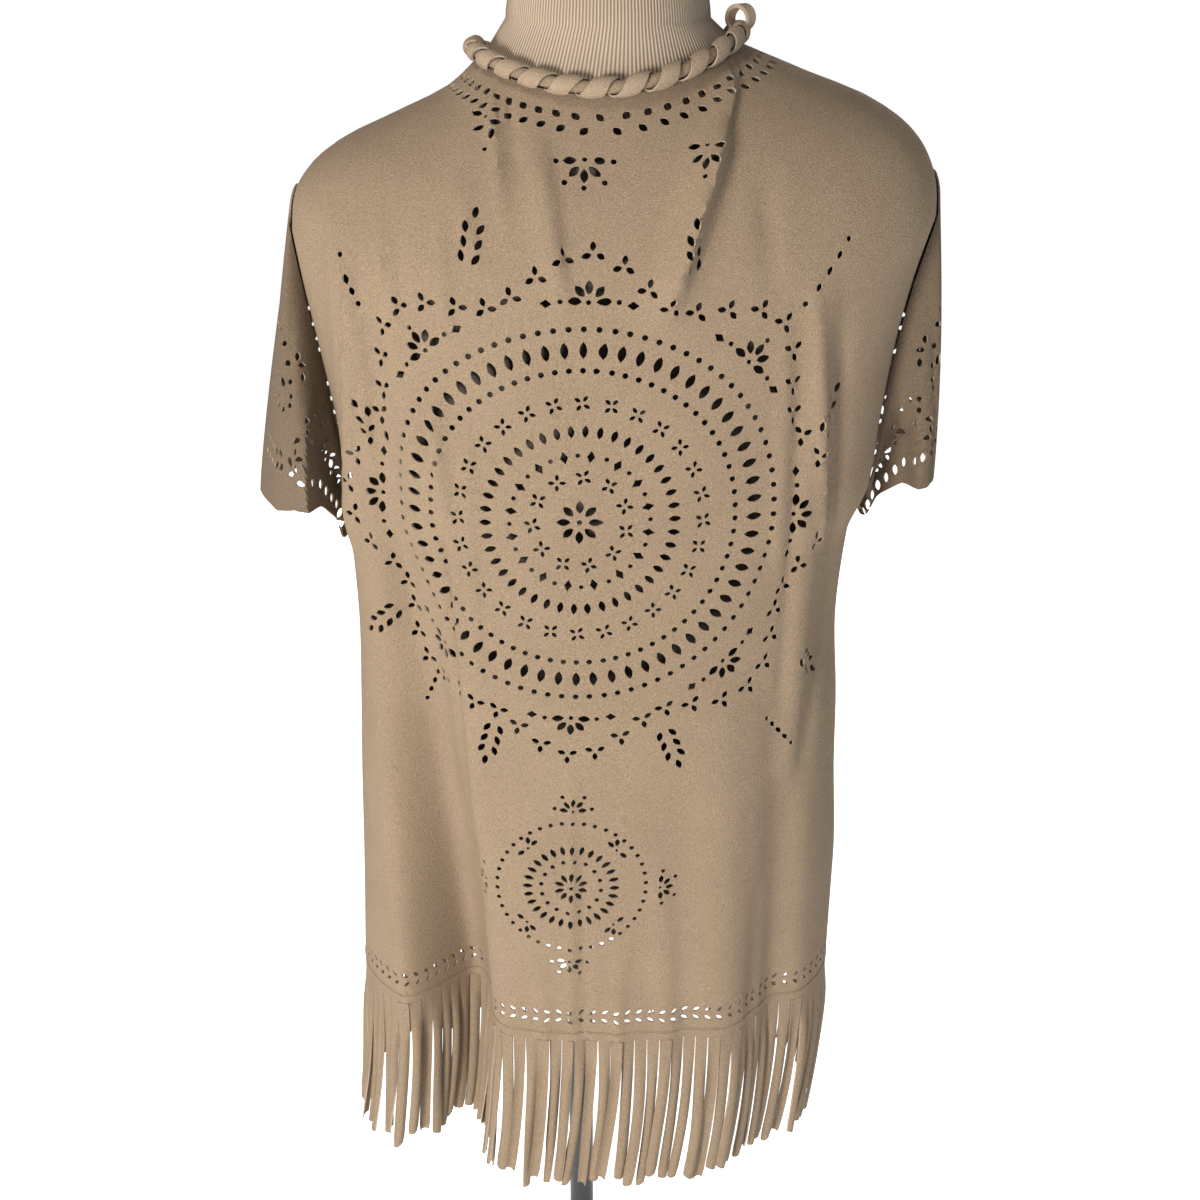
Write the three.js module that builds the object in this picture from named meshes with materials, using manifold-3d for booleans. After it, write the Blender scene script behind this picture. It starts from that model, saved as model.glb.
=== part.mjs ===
// Fringed kimono in thin suede on a limbless dress form with a pole and a round base.
// Millimetres, +Z up. The wearer's back faces -Y and the wearer's left is -X.
// The origin is the middle of the base's underside, on the floor.
import * as THREE from "three";
import { mergeVertices } from "three/addons/utils/BufferGeometryUtils.js";
import Module from "manifold-3d";

const wasm = await Module();
wasm.setup();

// Cloth and seams
const clothThick = 1.6;
const seamGap = 0.3;
const formClearance = 0.95;

// Heights above the floor
const hemHeight = 459;
const armholeFoot = 845;
const backNeckHeight = 1117;
const leftNeckHeight = 1132;
const rightNeckHeight = 1140;
const frontNeckHeight = 1084;
const backShoulderHeight = 990;
const leftShoulderHeight = 1030;
const rightShoulderHeight = 1040;
const frontShoulderHeight = 985;

// Plan of the neckline and of the body
const leftNeckReach = 74;
const rightNeckReach = 84;
const backNeckReach = 66;
const frontNeckReach = 78;
const sideLine = -10;
const garmentShift = 16;

// Half widths and depths of the body and how square its plan is, a row for each height
const bodyRows = [
  { z: 459, left: 186, right: 179, back: 110, front: 106, power: 2.1 },
  { z: 552, left: 181, right: 179, back: 110, front: 106, power: 2.2 },
  { z: 641, left: 177, right: 174, back: 110, front: 107, power: 2.3 },
  { z: 691, left: 174, right: 172, back: 110, front: 108, power: 2.4 },
  { z: 764, left: 171, right: 167, back: 110, front: 111, power: 2.5 },
  { z: 827, left: 172, right: 171, back: 110, front: 117, power: 2.6 },
  { z: 862, left: 172, right: 184, back: 110, front: 120, power: 2.6 },
  { z: 907, left: 177, right: 188, back: 110, front: 121, power: 2.6 },
  { z: 956, left: 185, right: 194, back: 110, front: 117, power: 2.6 },
  { z: 997, left: 192, right: 202, back: 110, front: 110, power: 2.6 },
  { z: 1040, left: 198, right: 214, back: 110, front: 100, power: 2.6 },
];

// How the shoulder line falls from neck to shoulder: share of the drop, share of the reach
const shoulderRows = [
  { drop: 0, left: 0, right: 0, middle: 0 },
  { drop: 0.18, left: 0.17, right: 0.35, middle: 0.33 },
  { drop: 0.33, left: 0.43, right: 0.65, middle: 0.55 },
  { drop: 0.5, left: 0.735, right: 0.85, middle: 0.75 },
  { drop: 0.64, left: 0.89, right: 0.935, middle: 0.87 },
  { drop: 0.78, left: 0.97, right: 0.98, middle: 0.955 },
  { drop: 0.88, left: 0.99, right: 0.995, middle: 0.985 },
  { drop: 1, left: 1, right: 1, middle: 1 },
];
const domeRows = shoulderRows.slice(1, -1).map((row) => row.drop);

// Folds: where each crest starts and ends (z and x), its half widths, and its rise at both ends
const foldColumns = ["name", "topZ", "footZ", "topX", "footX", "left", "right", "topRise", "footRise"];
const named = (row) => Object.fromEntries(foldColumns.map((column, k) => [column, row[k]]));
const backFolds = [
  ["neck ridge", 1122, 975, 78, 34, 24, 12, 9, 6],
  ["nape crease", 1118, 985, -45, -24, 14, 14, 2.5, 2],
  ["left edge", 1060, 800, -160, -166, 10, 14, 3, 5],
  ["left hollow", 1010, 740, -140, -136, 16, 18, -4, -7],
  ["deep hollow", 860, 400, -132, -116, 34, 52, -4, -64],
  ["left crest", 940, 600, -112, -92, 22, 26, 3, 7],
  ["right crest", 1030, 640, 136, 134, 20, 14, 3, 5],
  ["right hollow", 1000, 720, 148, 152, 10, 12, -4, -3],
  ["right swell", 760, 400, 84, 92, 34, 30, 2, 9],
  ["right dip", 740, 400, 126, 134, 22, 22, -3, -12],
].map(named);

// Folds of the fronts, alike on both sides
const frontFolds = [
  ["bust fall", 930, 400, 88, 84, 26, 30, 3, 13],
  ["side hollow", 880, 400, 128, 130, 22, 22, -3, -15],
  ["front edge wave", 800, 400, 58, 52, 16, 14, -1, -7],
].map(named);
const foldFade = 45;
const seamFade = 0.3;

// Armhole, in degrees round the body and in rows down it
const armholeHalfAngle = 11;
const armholeTop = 0.78;
const armholeEnd = 2;

// Sleeves: half widths of each hem, its depth, its heights outside, at the ridge and inside,
// how soon the inner half turns in, and how far the seam laps over the body
const sleeves = [
  {
    name: "sleeve_left", side: -1, outer: 237, inner: 177, depth: 68,
    outerZ: 843, ridgeZ: 853, innerZ: 814, skew: 0.45, lap: 2.1,
  },
  {
    name: "sleeve_right", side: 1, outer: 225, inner: 182, depth: 45,
    outerZ: 869, ridgeZ: 861, innerZ: 828, skew: 2, lap: 2.25,
  },
];
const sleeveMiddle = -8;

// Front opening
const frontEdgeTop = 36;
const frontEdgeFoot = 46;

// Neck binding: a rolled thong with a slanted whip stitch
const rollRadius = 5.3;
const wrapRise = 0.9;
const rollLift = 6.8;
const wrapCount = 22;
const rollEnd = 155;
const panelStart = 0.012;

// Fringe
const stripHeight = 6.2;
const strandPitch = 9.2;
const strandGap = 0.8;
const strandThick = 1.6;
const strandLength = 142;
const strandUneven = 7;
const strandSway = 2.5;
const strandLean = -9;
const fringeTrim = 1.2;

// Dress form and stand
const neckRadius = 61.5;
const neckTop = 1190;
const capHeight = 12;
const capRadius = 57;
const poleRadius = 10;
const collarRadius = 17;
const collarHeight = 26;
const baseRadius = 150;
const baseHeight = 14;
const formFoot = 505;

// The form's own half widths and depths where it stands clear of the cloth
const formRows = [
  { z: 505, width: 112, back: 56, front: 66 },
  { z: 560, width: 124, back: 64, front: 76 },
  { z: 640, width: 134, back: 76, front: 84 },
  { z: 730, width: 128, back: 84, front: 84 },
  { z: 800, width: 134, back: 90, front: 94 },
  { z: 880, width: 150, back: 98, front: 108 },
  { z: 940, width: 164, back: 100, front: 104 },
];
const formPower = 2.3;

const suede = { color: 0xb59d80, roughness: 0.95, metalness: 0 };
const jersey = { color: 0xe6dccb, roughness: 0.9, metalness: 0 };
const blackSteel = { color: 0x17181a, roughness: 0.45, metalness: 0.6 };

const group = new THREE.Group();
group.name = "fringed_kimono";

const degree = Math.PI / 180;
const mix = (from, to, share) => from + (to - from) * share;
const ease = (share) => {
  const s = Math.min(1, Math.max(0, share));
  return s * s * (3 - 2 * s);
};

// Value of a table's column between its rows, on a smooth curve that never overshoots
function along(rows, key, at, column) {
  const last = rows.length - 1;
  if (at <= rows[0][key]) return rows[0][column];
  if (at >= rows[last][key]) return rows[last][column];
  let i = 0;
  while (at > rows[i + 1][key]) i += 1;
  const slope = (k) => (rows[k + 1][column] - rows[k][column]) / (rows[k + 1][key] - rows[k][key]);
  const bend = (k) => {
    if (k === 0) return slope(0);
    if (k === last) return slope(last - 1);
    const before = slope(k - 1);
    const after = slope(k);
    return before * after <= 0 ? 0 : (2 * before * after) / (before + after);
  };
  const step = rows[i + 1][key] - rows[i][key];
  const s = (at - rows[i][key]) / step;
  const rest = 1 - s;
  return (
    rows[i][column] * rest * rest * (1 + 2 * s) +
    rows[i + 1][column] * s * s * (3 - 2 * s) +
    bend(i) * step * s * rest * rest -
    bend(i + 1) * step * s * s * rest
  );
}

// Blend of the back, side and front values round the body; 0 is the middle of the back
function around(theta, back, left, right, front) {
  const side = Math.sin(theta);
  const depth = Math.cos(theta);
  const sideValue = side < 0 ? left : right;
  return mix(depth > 0 ? back : front, sideValue, side * side);
}

// Point of a rounded oval with its own half width on each side
function oval(theta, left, right, back, front, power, middleY, z) {
  const side = Math.sin(theta);
  const depth = Math.cos(theta);
  const share = 2 / power;
  const width = side < 0 ? left : right;
  const reach = depth > 0 ? back : front;
  return new THREE.Vector3(
    Math.sign(side) * width * Math.abs(side) ** share,
    middleY - Math.sign(depth) * reach * Math.abs(depth) ** share,
    z,
  );
}

function bodySection(theta, z) {
  const size = (column) => along(bodyRows, "z", z, column);
  return oval(
    theta, size("left"), size("right"), size("back"), size("front"), size("power"), sideLine, z);
}

// The body's middle surface without folds: row 0 is the neckline, 1 the shoulders' end,
// 2 the foot of the armholes and 3 the hem
function smoothBody(theta, row) {
  const shoulderZ = around(
    theta, backShoulderHeight, leftShoulderHeight, rightShoulderHeight, frontShoulderHeight);
  if (row >= 2) return bodySection(theta, mix(armholeFoot, hemHeight, row - 2));
  if (row >= 1) return bodySection(theta, mix(shoulderZ, armholeFoot, row - 1));
  const neckZ = around(theta, backNeckHeight, leftNeckHeight, rightNeckHeight, frontNeckHeight);
  const neck = oval(
    theta, leftNeckReach, rightNeckReach, backNeckReach, frontNeckReach, 2, sideLine, neckZ);
  const end = bodySection(theta, shoulderZ);
  const side = Math.sin(theta);
  const reach = mix(
    along(shoulderRows, "drop", row, "middle"),
    along(shoulderRows, "drop", row, side < 0 ? "left" : "right"),
    side * side,
  );
  return new THREE.Vector3(
    mix(neck.x, end.x, reach), mix(neck.y, end.y, reach), mix(neckZ, shoulderZ, row));
}

// Sum of the folds' rise at a place on a panel
function rise(folds, x, z) {
  let sum = 0;
  for (const fold of folds) {
    if (z > fold.topZ || z < fold.footZ) continue;
    const down = (fold.topZ - z) / (fold.topZ - fold.footZ);
    const away = x - mix(fold.topX, fold.footX, down);
    const half = away < 0 ? fold.left : fold.right;
    if (Math.abs(away) >= half) continue;
    const crest = Math.cos((away / half) * (Math.PI / 2)) ** 2;
    const ends = ease((fold.topZ - z) / foldFade) * ease((z - fold.footZ) / foldFade);
    sum += mix(fold.topRise, fold.footRise, down) * crest * ends;
  }
  return sum;
}

// The body's middle surface with its folds
function body(theta, row) {
  const point = smoothBody(theta, row);
  const depth = Math.cos(theta);
  const folds = depth > 0 ? backFolds : frontFolds;
  const place = depth > 0 ? point.x : Math.abs(point.x);
  const height = rise(folds, place, point.z) * ease(Math.abs(depth) / seamFade) * ease(row / 0.3);
  const outward = new THREE.Vector2(Math.sin(theta) * 0.45, -depth).normalize();
  point.x += outward.x * height;
  point.y += outward.y * height;
  return point;
}

// Outward normal of a surface given as a function of two parameters
function normalOf(surface, theta, row) {
  const turn = 0.6 * degree;
  const step = 0.015;
  const across = surface(theta + turn, row).sub(surface(theta - turn, row));
  const down = surface(theta, row + step).sub(surface(theta, Math.max(0, row - step)));
  return down.cross(across).normalize();
}

const bodyAt = (theta, row, lift = 0) =>
  body(theta, row).addScaledVector(normalOf(body, theta, row), lift);

// A level line round the body between two angles, measured along its length
function levelLine(row, from, to) {
  const steps = 180;
  const angles = [from];
  const lengths = [0];
  let last = body(from, row);
  for (let i = 1; i <= steps; i += 1) {
    const angle = mix(from, to, i / steps);
    const point = body(angle, row);
    angles.push(angle);
    lengths.push(lengths[i - 1] + point.distanceTo(last));
    last = point;
  }
  const at = (length) => {
    const wanted = Math.min(lengths[steps], Math.max(0, length));
    let i = 1;
    while (i < steps && lengths[i] < wanted) i += 1;
    const share = (wanted - lengths[i - 1]) / (lengths[i] - lengths[i - 1]);
    return mix(angles[i - 1], angles[i], share);
  };
  return { length: lengths[steps], at, angles, lengths };
}

// A closed wall of cloth over the cells of a grid. point(i, j, lift) gives a place on the cloth
function clothWall(cells, point, thick, wrap = 0) {
  const index = new Map();
  const positions = [];
  const columnOf = (i) => (wrap ? i % wrap : i);
  const vertex = (i, j, face) => {
    const key = `${columnOf(i)},${j},${face}`;
    if (!index.has(key)) {
      index.set(key, positions.length / 3);
      positions.push(...point(columnOf(i), j, (face * thick) / 2).toArray());
    }
    return index.get(key);
  };
  const present = new Set(cells.map(([i, j]) => `${columnOf(i)},${j}`));
  const has = (i, j) => present.has(`${wrap ? (i + wrap) % wrap : i},${j}`);
  const faces = [];
  const quad = (a, b, c, d) => faces.push(a, b, c, a, c, d);
  for (const [i, j] of cells) {
    const outer = [vertex(i, j, 1), vertex(i + 1, j, 1), vertex(i + 1, j + 1, 1), vertex(i, j + 1, 1)];
    const inner = [vertex(i, j, -1), vertex(i + 1, j, -1), vertex(i + 1, j + 1, -1), vertex(i, j + 1, -1)];
    quad(outer[3], outer[2], outer[1], outer[0]);
    quad(inner[1], inner[2], inner[3], inner[0]);
    if (!has(i, j - 1)) quad(outer[0], outer[1], inner[1], inner[0]);
    if (!has(i + 1, j)) quad(outer[1], outer[2], inner[2], inner[1]);
    if (!has(i, j + 1)) quad(outer[2], outer[3], inner[3], inner[2]);
    if (!has(i - 1, j)) quad(outer[3], outer[0], inner[0], inner[3]);
  }
  return facingOut(positions, faces);
}

// A geometry with its faces turned outwards
function facingOut(positions, faces) {
  const corner = (k) => new THREE.Vector3().fromArray(positions, faces[k] * 3);
  let volume = 0;
  for (let k = 0; k < faces.length; k += 3) {
    volume += corner(k).dot(corner(k + 1).cross(corner(k + 2)));
  }
  if (volume < 0) faces.reverse();
  const geometry = new THREE.BufferGeometry();
  geometry.setAttribute("position", new THREE.Float32BufferAttribute(positions, 3));
  geometry.setIndex(faces);
  geometry.computeVertexNormals();
  return geometry;
}

function gridCells(columns, rows) {
  const cells = [];
  for (let j = 0; j < rows; j += 1) for (let i = 0; i < columns; i += 1) cells.push([i, j]);
  return cells;
}

// A three.js geometry as a solid that can be joined and cut, and back again
function solidOf(geometry) {
  const plain = geometry.clone();
  plain.deleteAttribute("normal");
  plain.deleteAttribute("uv");
  const merged = mergeVertices(plain, 1e-4);
  return new wasm.Manifold(
    new wasm.Mesh({
      numProp: 3,
      vertProperties: merged.attributes.position.array,
      triVerts: new Uint32Array(merged.index.array),
    }),
  );
}

function geometryOf(solid) {
  const mesh = solid.getMesh();
  const geometry = new THREE.BufferGeometry();
  geometry.setAttribute("position", new THREE.BufferAttribute(new Float32Array(mesh.vertProperties), 3));
  geometry.setIndex(new THREE.BufferAttribute(new Uint32Array(mesh.triVerts), 1));
  geometry.computeVertexNormals();
  return geometry;
}

function addPiece(name, geometry, finish) {
  const mesh = new THREE.Mesh(geometry, new THREE.MeshStandardMaterial(finish));
  mesh.name = name;
  mesh.position.x = garmentShift;
  group.add(mesh);
  return mesh;
}

// Half angle that the armhole takes out of a panel at a row
function armholeAngle(row) {
  const middle = (armholeTop + armholeEnd) / 2;
  const half = (armholeEnd - armholeTop) / 2;
  const off = (row - middle) / half;
  return Math.abs(off) >= 1 ? 0 : armholeHalfAngle * degree * Math.sqrt(1 - off * off);
}

// Back panel
const backRows = [
  panelStart, ...domeRows, 1, 1.18, 1.4, 1.65, 1.86, 1.96, 2, 2.16, 2.33, 2.5, 2.67, 2.84, 3,
];
const backColumns = 34;
const backLines = backRows.map((row) => {
  const edge = Math.PI / 2 - armholeAngle(row);
  return levelLine(row, -edge, edge);
});
const backPoint = (i, j, lift) => {
  const line = backLines[j];
  const trim = seamGap / 2;
  const angle = line.at(mix(trim, line.length - trim, i / backColumns));
  return bodyAt(angle, backRows[j], lift);
};
const backGeometry = clothWall(gridCells(backColumns, backRows.length - 1), backPoint, clothThick);

// Cutwork of the back, placed from the middle line of the back and by height there.
// The middle line hangs a little askew
const middleTop = -6;
const middleFoot = -23.5;
const middleAt = (z) => mix(middleTop, middleFoot, (backNeckHeight - z) / (backNeckHeight - hemHeight));

function rowAtHeight(z) {
  if (z <= armholeFoot) return 2 + (armholeFoot - z) / (armholeFoot - hemHeight);
  if (z <= backShoulderHeight) return 1 + (backShoulderHeight - z) / (backShoulderHeight - armholeFoot);
  return (backNeckHeight - z) / (backNeckHeight - backShoulderHeight);
}

const lineCache = new Map();
function angleOnBack(across, row, z) {
  const key = row.toFixed(4);
  if (!lineCache.has(key)) {
    const line = levelLine(row, -Math.PI / 2, Math.PI / 2);
    const middle = middleAt(z);
    let i = 0;
    while (body(line.angles[i], row).x < middle) i += 1;
    lineCache.set(key, { line, zero: line.lengths[i] });
  }
  const { line, zero } = lineCache.get(key);
  return line.at(zero + across);
}

// One gap: an outline in the cloth's own plane, pushed right through the wall
const cutDepth = 5;
function gap(outline, surface, theta, row, turn) {
  const at = surface(theta, row);
  const out = normalOf(surface, theta, row);
  const across = surface(theta + 0.5 * degree, row).sub(surface(theta - 0.5 * degree, row));
  across.addScaledVector(out, -across.dot(out)).normalize();
  const down = across.clone().cross(out).normalize();
  const cutter = new THREE.ExtrudeGeometry(outline, { depth: 2 * cutDepth, bevelEnabled: false, steps: 1 });
  cutter.translate(0, 0, -cutDepth);
  cutter.rotateZ(turn);
  cutter.applyMatrix4(new THREE.Matrix4().makeBasis(across, down.negate(), out).setPosition(at));
  return cutter;
}

// Leaf outline, long way up
function leaf(length, width) {
  const shape = new THREE.Shape();
  shape.moveTo(0, length / 2);
  shape.lineTo(-width / 2, length * 0.04);
  shape.lineTo(0, -length / 2);
  shape.lineTo(width / 2, length * 0.04);
  shape.closePath();
  return shape;
}

const backGaps = [];
function cutBack(across, z, turn, length, width) {
  const row = rowAtHeight(z);
  backGaps.push(gap(leaf(length, width), body, angleOnBack(across, row, z), row, turn));
}

// A ring of leaves round a middle; tilt turns each one from the spoke
function ring(middleX, middleZ, radius, count, length, width, tilt = 0, start = 0) {
  for (let k = 0; k < count; k += 1) {
    const angle = start + (k / count) * 2 * Math.PI;
    cutBack(
      middleX + radius * Math.sin(angle), middleZ + radius * Math.cos(angle),
      -angle + tilt, length, width);
  }
}

const bigMiddle = 863;
const smallMiddle = 587;
ring(0, bigMiddle, 9.5, 8, 8, 4.6);
ring(0, bigMiddle, 44, 16, 8.5, 5);
ring(0, bigMiddle, 111, 60, 10.5, 4.8);
ring(0, smallMiddle, 9, 8, 7.5, 4.2);
ring(0, smallMiddle, 31, 28, 8, 4.2);

// Rows of leaves below the neckline and above the hem
const neckLeaves = 22;
for (let k = 0; k < neckLeaves; k += 1) {
  const line = levelLine(0.19, -Math.PI / 2, Math.PI / 2);
  const angle = line.at(line.length * mix(0.07, 0.93, k / (neckLeaves - 1)));
  backGaps.push(gap(leaf(8.5, 4.6), body, angle, 0.19, 0.5));
}
const hemLeaves = 30;
const hemLeavesAbove = 19;
for (let k = 0; k < hemLeaves; k += 1) {
  const row = rowAtHeight(hemHeight + hemLeavesAbove);
  const line = levelLine(row, -Math.PI / 2, Math.PI / 2);
  const angle = line.at(line.length * mix(0.04, 0.96, k / (hemLeaves - 1)));
  backGaps.push(gap(leaf(8, 4.4), body, angle, row, 0.6));
}

function cutWith(geometry, gaps) {
  let solid = solidOf(geometry);
  for (const cutter of gaps) solid = solid.subtract(solidOf(cutter));
  return geometryOf(solid);
}
addPiece("back", cutWith(backGeometry, backGaps), suede);

// Front panels
const frontRows = [
  panelStart, ...domeRows, 1, 1.25, 1.6, 1.88, 1.97, 2, 2.25, 2.5, 2.75, 3,
];
const frontColumns = 12;
const frontEdgeX = (z) =>
  mix(frontEdgeTop, frontEdgeFoot, (frontNeckHeight - z) / (frontNeckHeight - hemHeight));

function frontPanel(side) {
  const lines = frontRows.map((row) => {
    let edge = Math.PI * 0.97;
    while (Math.abs(body(edge, row).x) < frontEdgeX(body(edge, row).z)) edge -= 0.1 * degree;
    return levelLine(row, side * (Math.PI / 2 + armholeAngle(row)), side * edge);
  });
  const point = (i, j, lift) => {
    const line = lines[j];
    return bodyAt(line.at(mix(seamGap / 2, line.length, i / frontColumns)), frontRows[j], lift);
  };
  return { lines, point };
}

const frontPanels = new Map([-1, 1].map((side) => [side, frontPanel(side)]));
for (const [side, panel] of frontPanels) {
  const geometry = clothWall(gridCells(frontColumns, frontRows.length - 1), panel.point, clothThick);
  addPiece(side < 0 ? "front_left" : "front_right", geometry, suede);
}

// Sleeves: a short wide tube from the armhole's edge to its own hem, open at both ends
const sleeveColumns = 22;
const sleeveRows = 6;
function sleevePoint(size, turn, down) {
  const middle = (armholeTop + armholeEnd) / 2;
  const half = (armholeEnd - armholeTop) / 2;
  const theta = size.side * (Math.PI / 2 - armholeHalfAngle * degree * Math.sin(turn));
  const seam = bodyAt(theta, middle - half * Math.cos(turn), size.lap);
  const backward = Math.sin(turn);
  const inward = ((1 - Math.cos(turn)) / 2) ** size.skew;
  const endZ = Math.cos(turn) > 0 ? size.outerZ : size.innerZ;
  const hem = new THREE.Vector3(
    size.side * mix(size.outer, size.inner, inward),
    sleeveMiddle - Math.sign(backward) * size.depth * Math.abs(backward) ** 0.8,
    mix(endZ, size.ridgeZ, backward * backward),
  );
  const hurry = 1.15 + 1.5 * backward * backward;
  const share = 1 - (1 - down) ** hurry;
  return new THREE.Vector3(
    mix(seam.x, hem.x, share), mix(seam.y, hem.y, share), mix(seam.z, hem.z, down));
}

function sleeveAt(size, turn, down, lift) {
  const across = sleevePoint(size, turn + 0.02, down).sub(sleevePoint(size, turn - 0.02, down));
  const run = sleevePoint(size, turn, Math.min(1, down + 0.01));
  run.sub(sleevePoint(size, turn, Math.max(0, down - 0.01)));
  const out = across.cross(run).normalize().multiplyScalar(size.side);
  return sleevePoint(size, turn, down).addScaledVector(out, lift);
}

for (const size of sleeves) {
  const point = (i, j, lift) =>
    sleeveAt(size, (i / sleeveColumns) * 2 * Math.PI, j / sleeveRows, lift);
  const geometry = clothWall(gridCells(sleeveColumns, sleeveRows), point, clothThick, sleeveColumns);
  addPiece(size.name, geometry, suede);
}

// Neck binding
const rollSides = 6;
const rollRings = wrapCount * 3;
function rollGeometry() {
  const positions = [];
  const faces = [];
  const centre = (share) => {
    const theta = mix(-rollEnd, rollEnd, share) * degree;
    return bodyAt(theta, 0, rollLift);
  };
  for (let k = 0; k <= rollRings; k += 1) {
    const share = k / rollRings;
    const middle = centre(share);
    const ahead = centre(share + 0.002).sub(centre(share - 0.002)).normalize();
    const out = normalOf(body, mix(-rollEnd, rollEnd, share) * degree, 0);
    out.addScaledVector(ahead, -out.dot(ahead)).normalize();
    const up = ahead.clone().cross(out);
    for (let s = 0; s < rollSides; s += 1) {
      const angle = (s / rollSides) * 2 * Math.PI;
      const wave = Math.cos((share * wrapCount - (0.35 * angle) / Math.PI) * 2 * Math.PI);
      const radius = rollRadius + wrapRise * Math.max(-0.6, wave);
      positions.push(
        ...middle.clone()
          .addScaledVector(out, radius * Math.cos(angle))
          .addScaledVector(up, radius * Math.sin(angle))
          .toArray(),
      );
    }
  }
  const at = (k, s) => k * rollSides + (s % rollSides);
  for (let k = 0; k < rollRings; k += 1) {
    for (let s = 0; s < rollSides; s += 1) {
      faces.push(at(k, s), at(k + 1, s), at(k + 1, s + 1));
      faces.push(at(k, s), at(k + 1, s + 1), at(k, s + 1));
    }
  }
  for (let s = 1; s < rollSides - 1; s += 1) {
    faces.push(at(0, 0), at(0, s), at(0, s + 1));
    faces.push(at(rollRings, 0), at(rollRings, s + 1), at(rollRings, s));
  }
  return facingOut(positions, faces);
}

// A slack turn of the thong stands up from the binding at the right neck point
const loopRadius = 6.7;
const loopBand = 2;
const loopWidth = 5;
const loopAngle = 84;
const loopMiddle = 8.2;
const loopFoot = 9.5;
const loopPinch = 0.6;
function loopOutline(radius, halfFoot, foot) {
  const outline = new THREE.Shape();
  outline.absarc(0, 0, radius, -loopPinch, Math.PI + loopPinch, false);
  outline.lineTo(-halfFoot, -foot);
  outline.lineTo(halfFoot, -foot);
  outline.closePath();
  return outline;
}
function loopGeometry() {
  const ring = loopOutline(loopRadius + loopBand, 2.6, loopFoot);
  ring.holes.push(loopOutline(loopRadius, 0.5, loopFoot - 1));
  const geometry = new THREE.ExtrudeGeometry(ring, {
    depth: loopWidth, bevelEnabled: false, steps: 1, curveSegments: 8,
  });
  geometry.translate(0, 0, -loopWidth / 2);
  geometry.rotateX(Math.PI / 2);
  const seat = bodyAt(loopAngle * degree, 0, rollLift);
  geometry.translate(seat.x, seat.y, seat.z + loopMiddle);
  return geometry;
}
const binding = solidOf(rollGeometry()).add(solidOf(loopGeometry()));
addPiece("neck_binding", geometryOf(binding), suede);

// Fringe: strands that hang from a narrow strip below each panel's hem
const wobble = (k, seed) => {
  const value = Math.sin(k * 12.9898 + seed * 78.233) * 43758.5453;
  return (value - Math.floor(value)) * 2 - 1;
};

function fringe(name, line, seed) {
  const usable = line.length - 2 * fringeTrim;
  const count = Math.floor((usable + strandGap) / strandPitch);
  const pitch = (usable + strandGap) / count;
  const cells = [];
  for (let k = 0; k < count; k += 1) {
    cells.push([2 * k, 0], [2 * k, 1]);
    if (k < count - 1) cells.push([2 * k + 1, 0]);
  }
  const point = (i, j, lift) => {
    const strand = Math.floor(i / 2);
    const length = fringeTrim + strand * pitch + (i % 2) * (pitch - strandGap);
    const angle = line.at(length);
    const place = bodyAt(angle, 3, lift);
    const foot = strandLength + strandUneven * wobble(strand, seed);
    const sway = j === 2 ? strandSway : 0;
    place.x += sway * wobble(strand, seed + 1) + (j === 2 ? strandLean : 0);
    place.y += sway * wobble(strand, seed + 2);
    place.z = hemHeight - [seamGap, seamGap + stripHeight, foot][j];
    return place;
  };
  addPiece(name, clothWall(cells, point, strandThick), suede);
}
fringe("fringe_back", levelLine(3, -Math.PI / 2, Math.PI / 2), 3);
for (const [side, panel] of frontPanels) {
  fringe(side < 0 ? "fringe_front_left" : "fringe_front_right", panel.lines.at(-1), 11 + side);
}

// Dress form: neck, shoulders that carry the cloth, and a body that stands clear of it
const formColumns = 28;
const formEase = 2.4;
const domeEase = 1.8;
const shoulderEase = 6;
const formLift = (theta, row) =>
  -(clothThick / 2 + formClearance + formEase * (1 - Math.abs(Math.sin(theta)) ** 12)) -
  domeEase * ease(row / 0.18) - shoulderEase * ease((row - 0.6) / 0.25);
function formRing(kind, value) {
  const points = [];
  for (let i = 0; i < formColumns; i += 1) {
    const theta = -Math.PI + (i / formColumns) * 2 * Math.PI;
    if (kind === "shoulder") {
      const out = normalOf(smoothBody, theta, value);
      points.push(smoothBody(theta, value).addScaledVector(out, formLift(theta, value)));
    } else if (kind === "neck") {
      const middleX = (rightNeckReach - leftNeckReach) / 2;
      const middle = new THREE.Vector3(middleX, sideLine, 0);
      const ringPoint = oval(theta, value.radius, value.radius, value.radius, value.radius, 2, 0, value.z);
      points.push(middle.add(ringPoint));
    } else {
      const size = (column) => along(formRows, "z", value, column);
      points.push(
        oval(theta, size("width"), size("width"), size("back"), size("front"), formPower, sideLine, value));
    }
  }
  return points;
}

const formRings = [
  formRing("neck", { z: neckTop, radius: neckRadius - 3 }),
  formRing("neck", { z: 1166, radius: neckRadius }),
  formRing("neck", { z: 1152, radius: neckRadius + 1.5 }),
  ...[0.02, ...domeRows].map((row) => formRing("shoulder", row)),
  formRing("body", 940),
  formRing("body", 880),
  formRing("body", 800),
  formRing("body", 730),
  formRing("body", 640),
  formRing("body", 560),
  formRing("body", formFoot),
];

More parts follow.
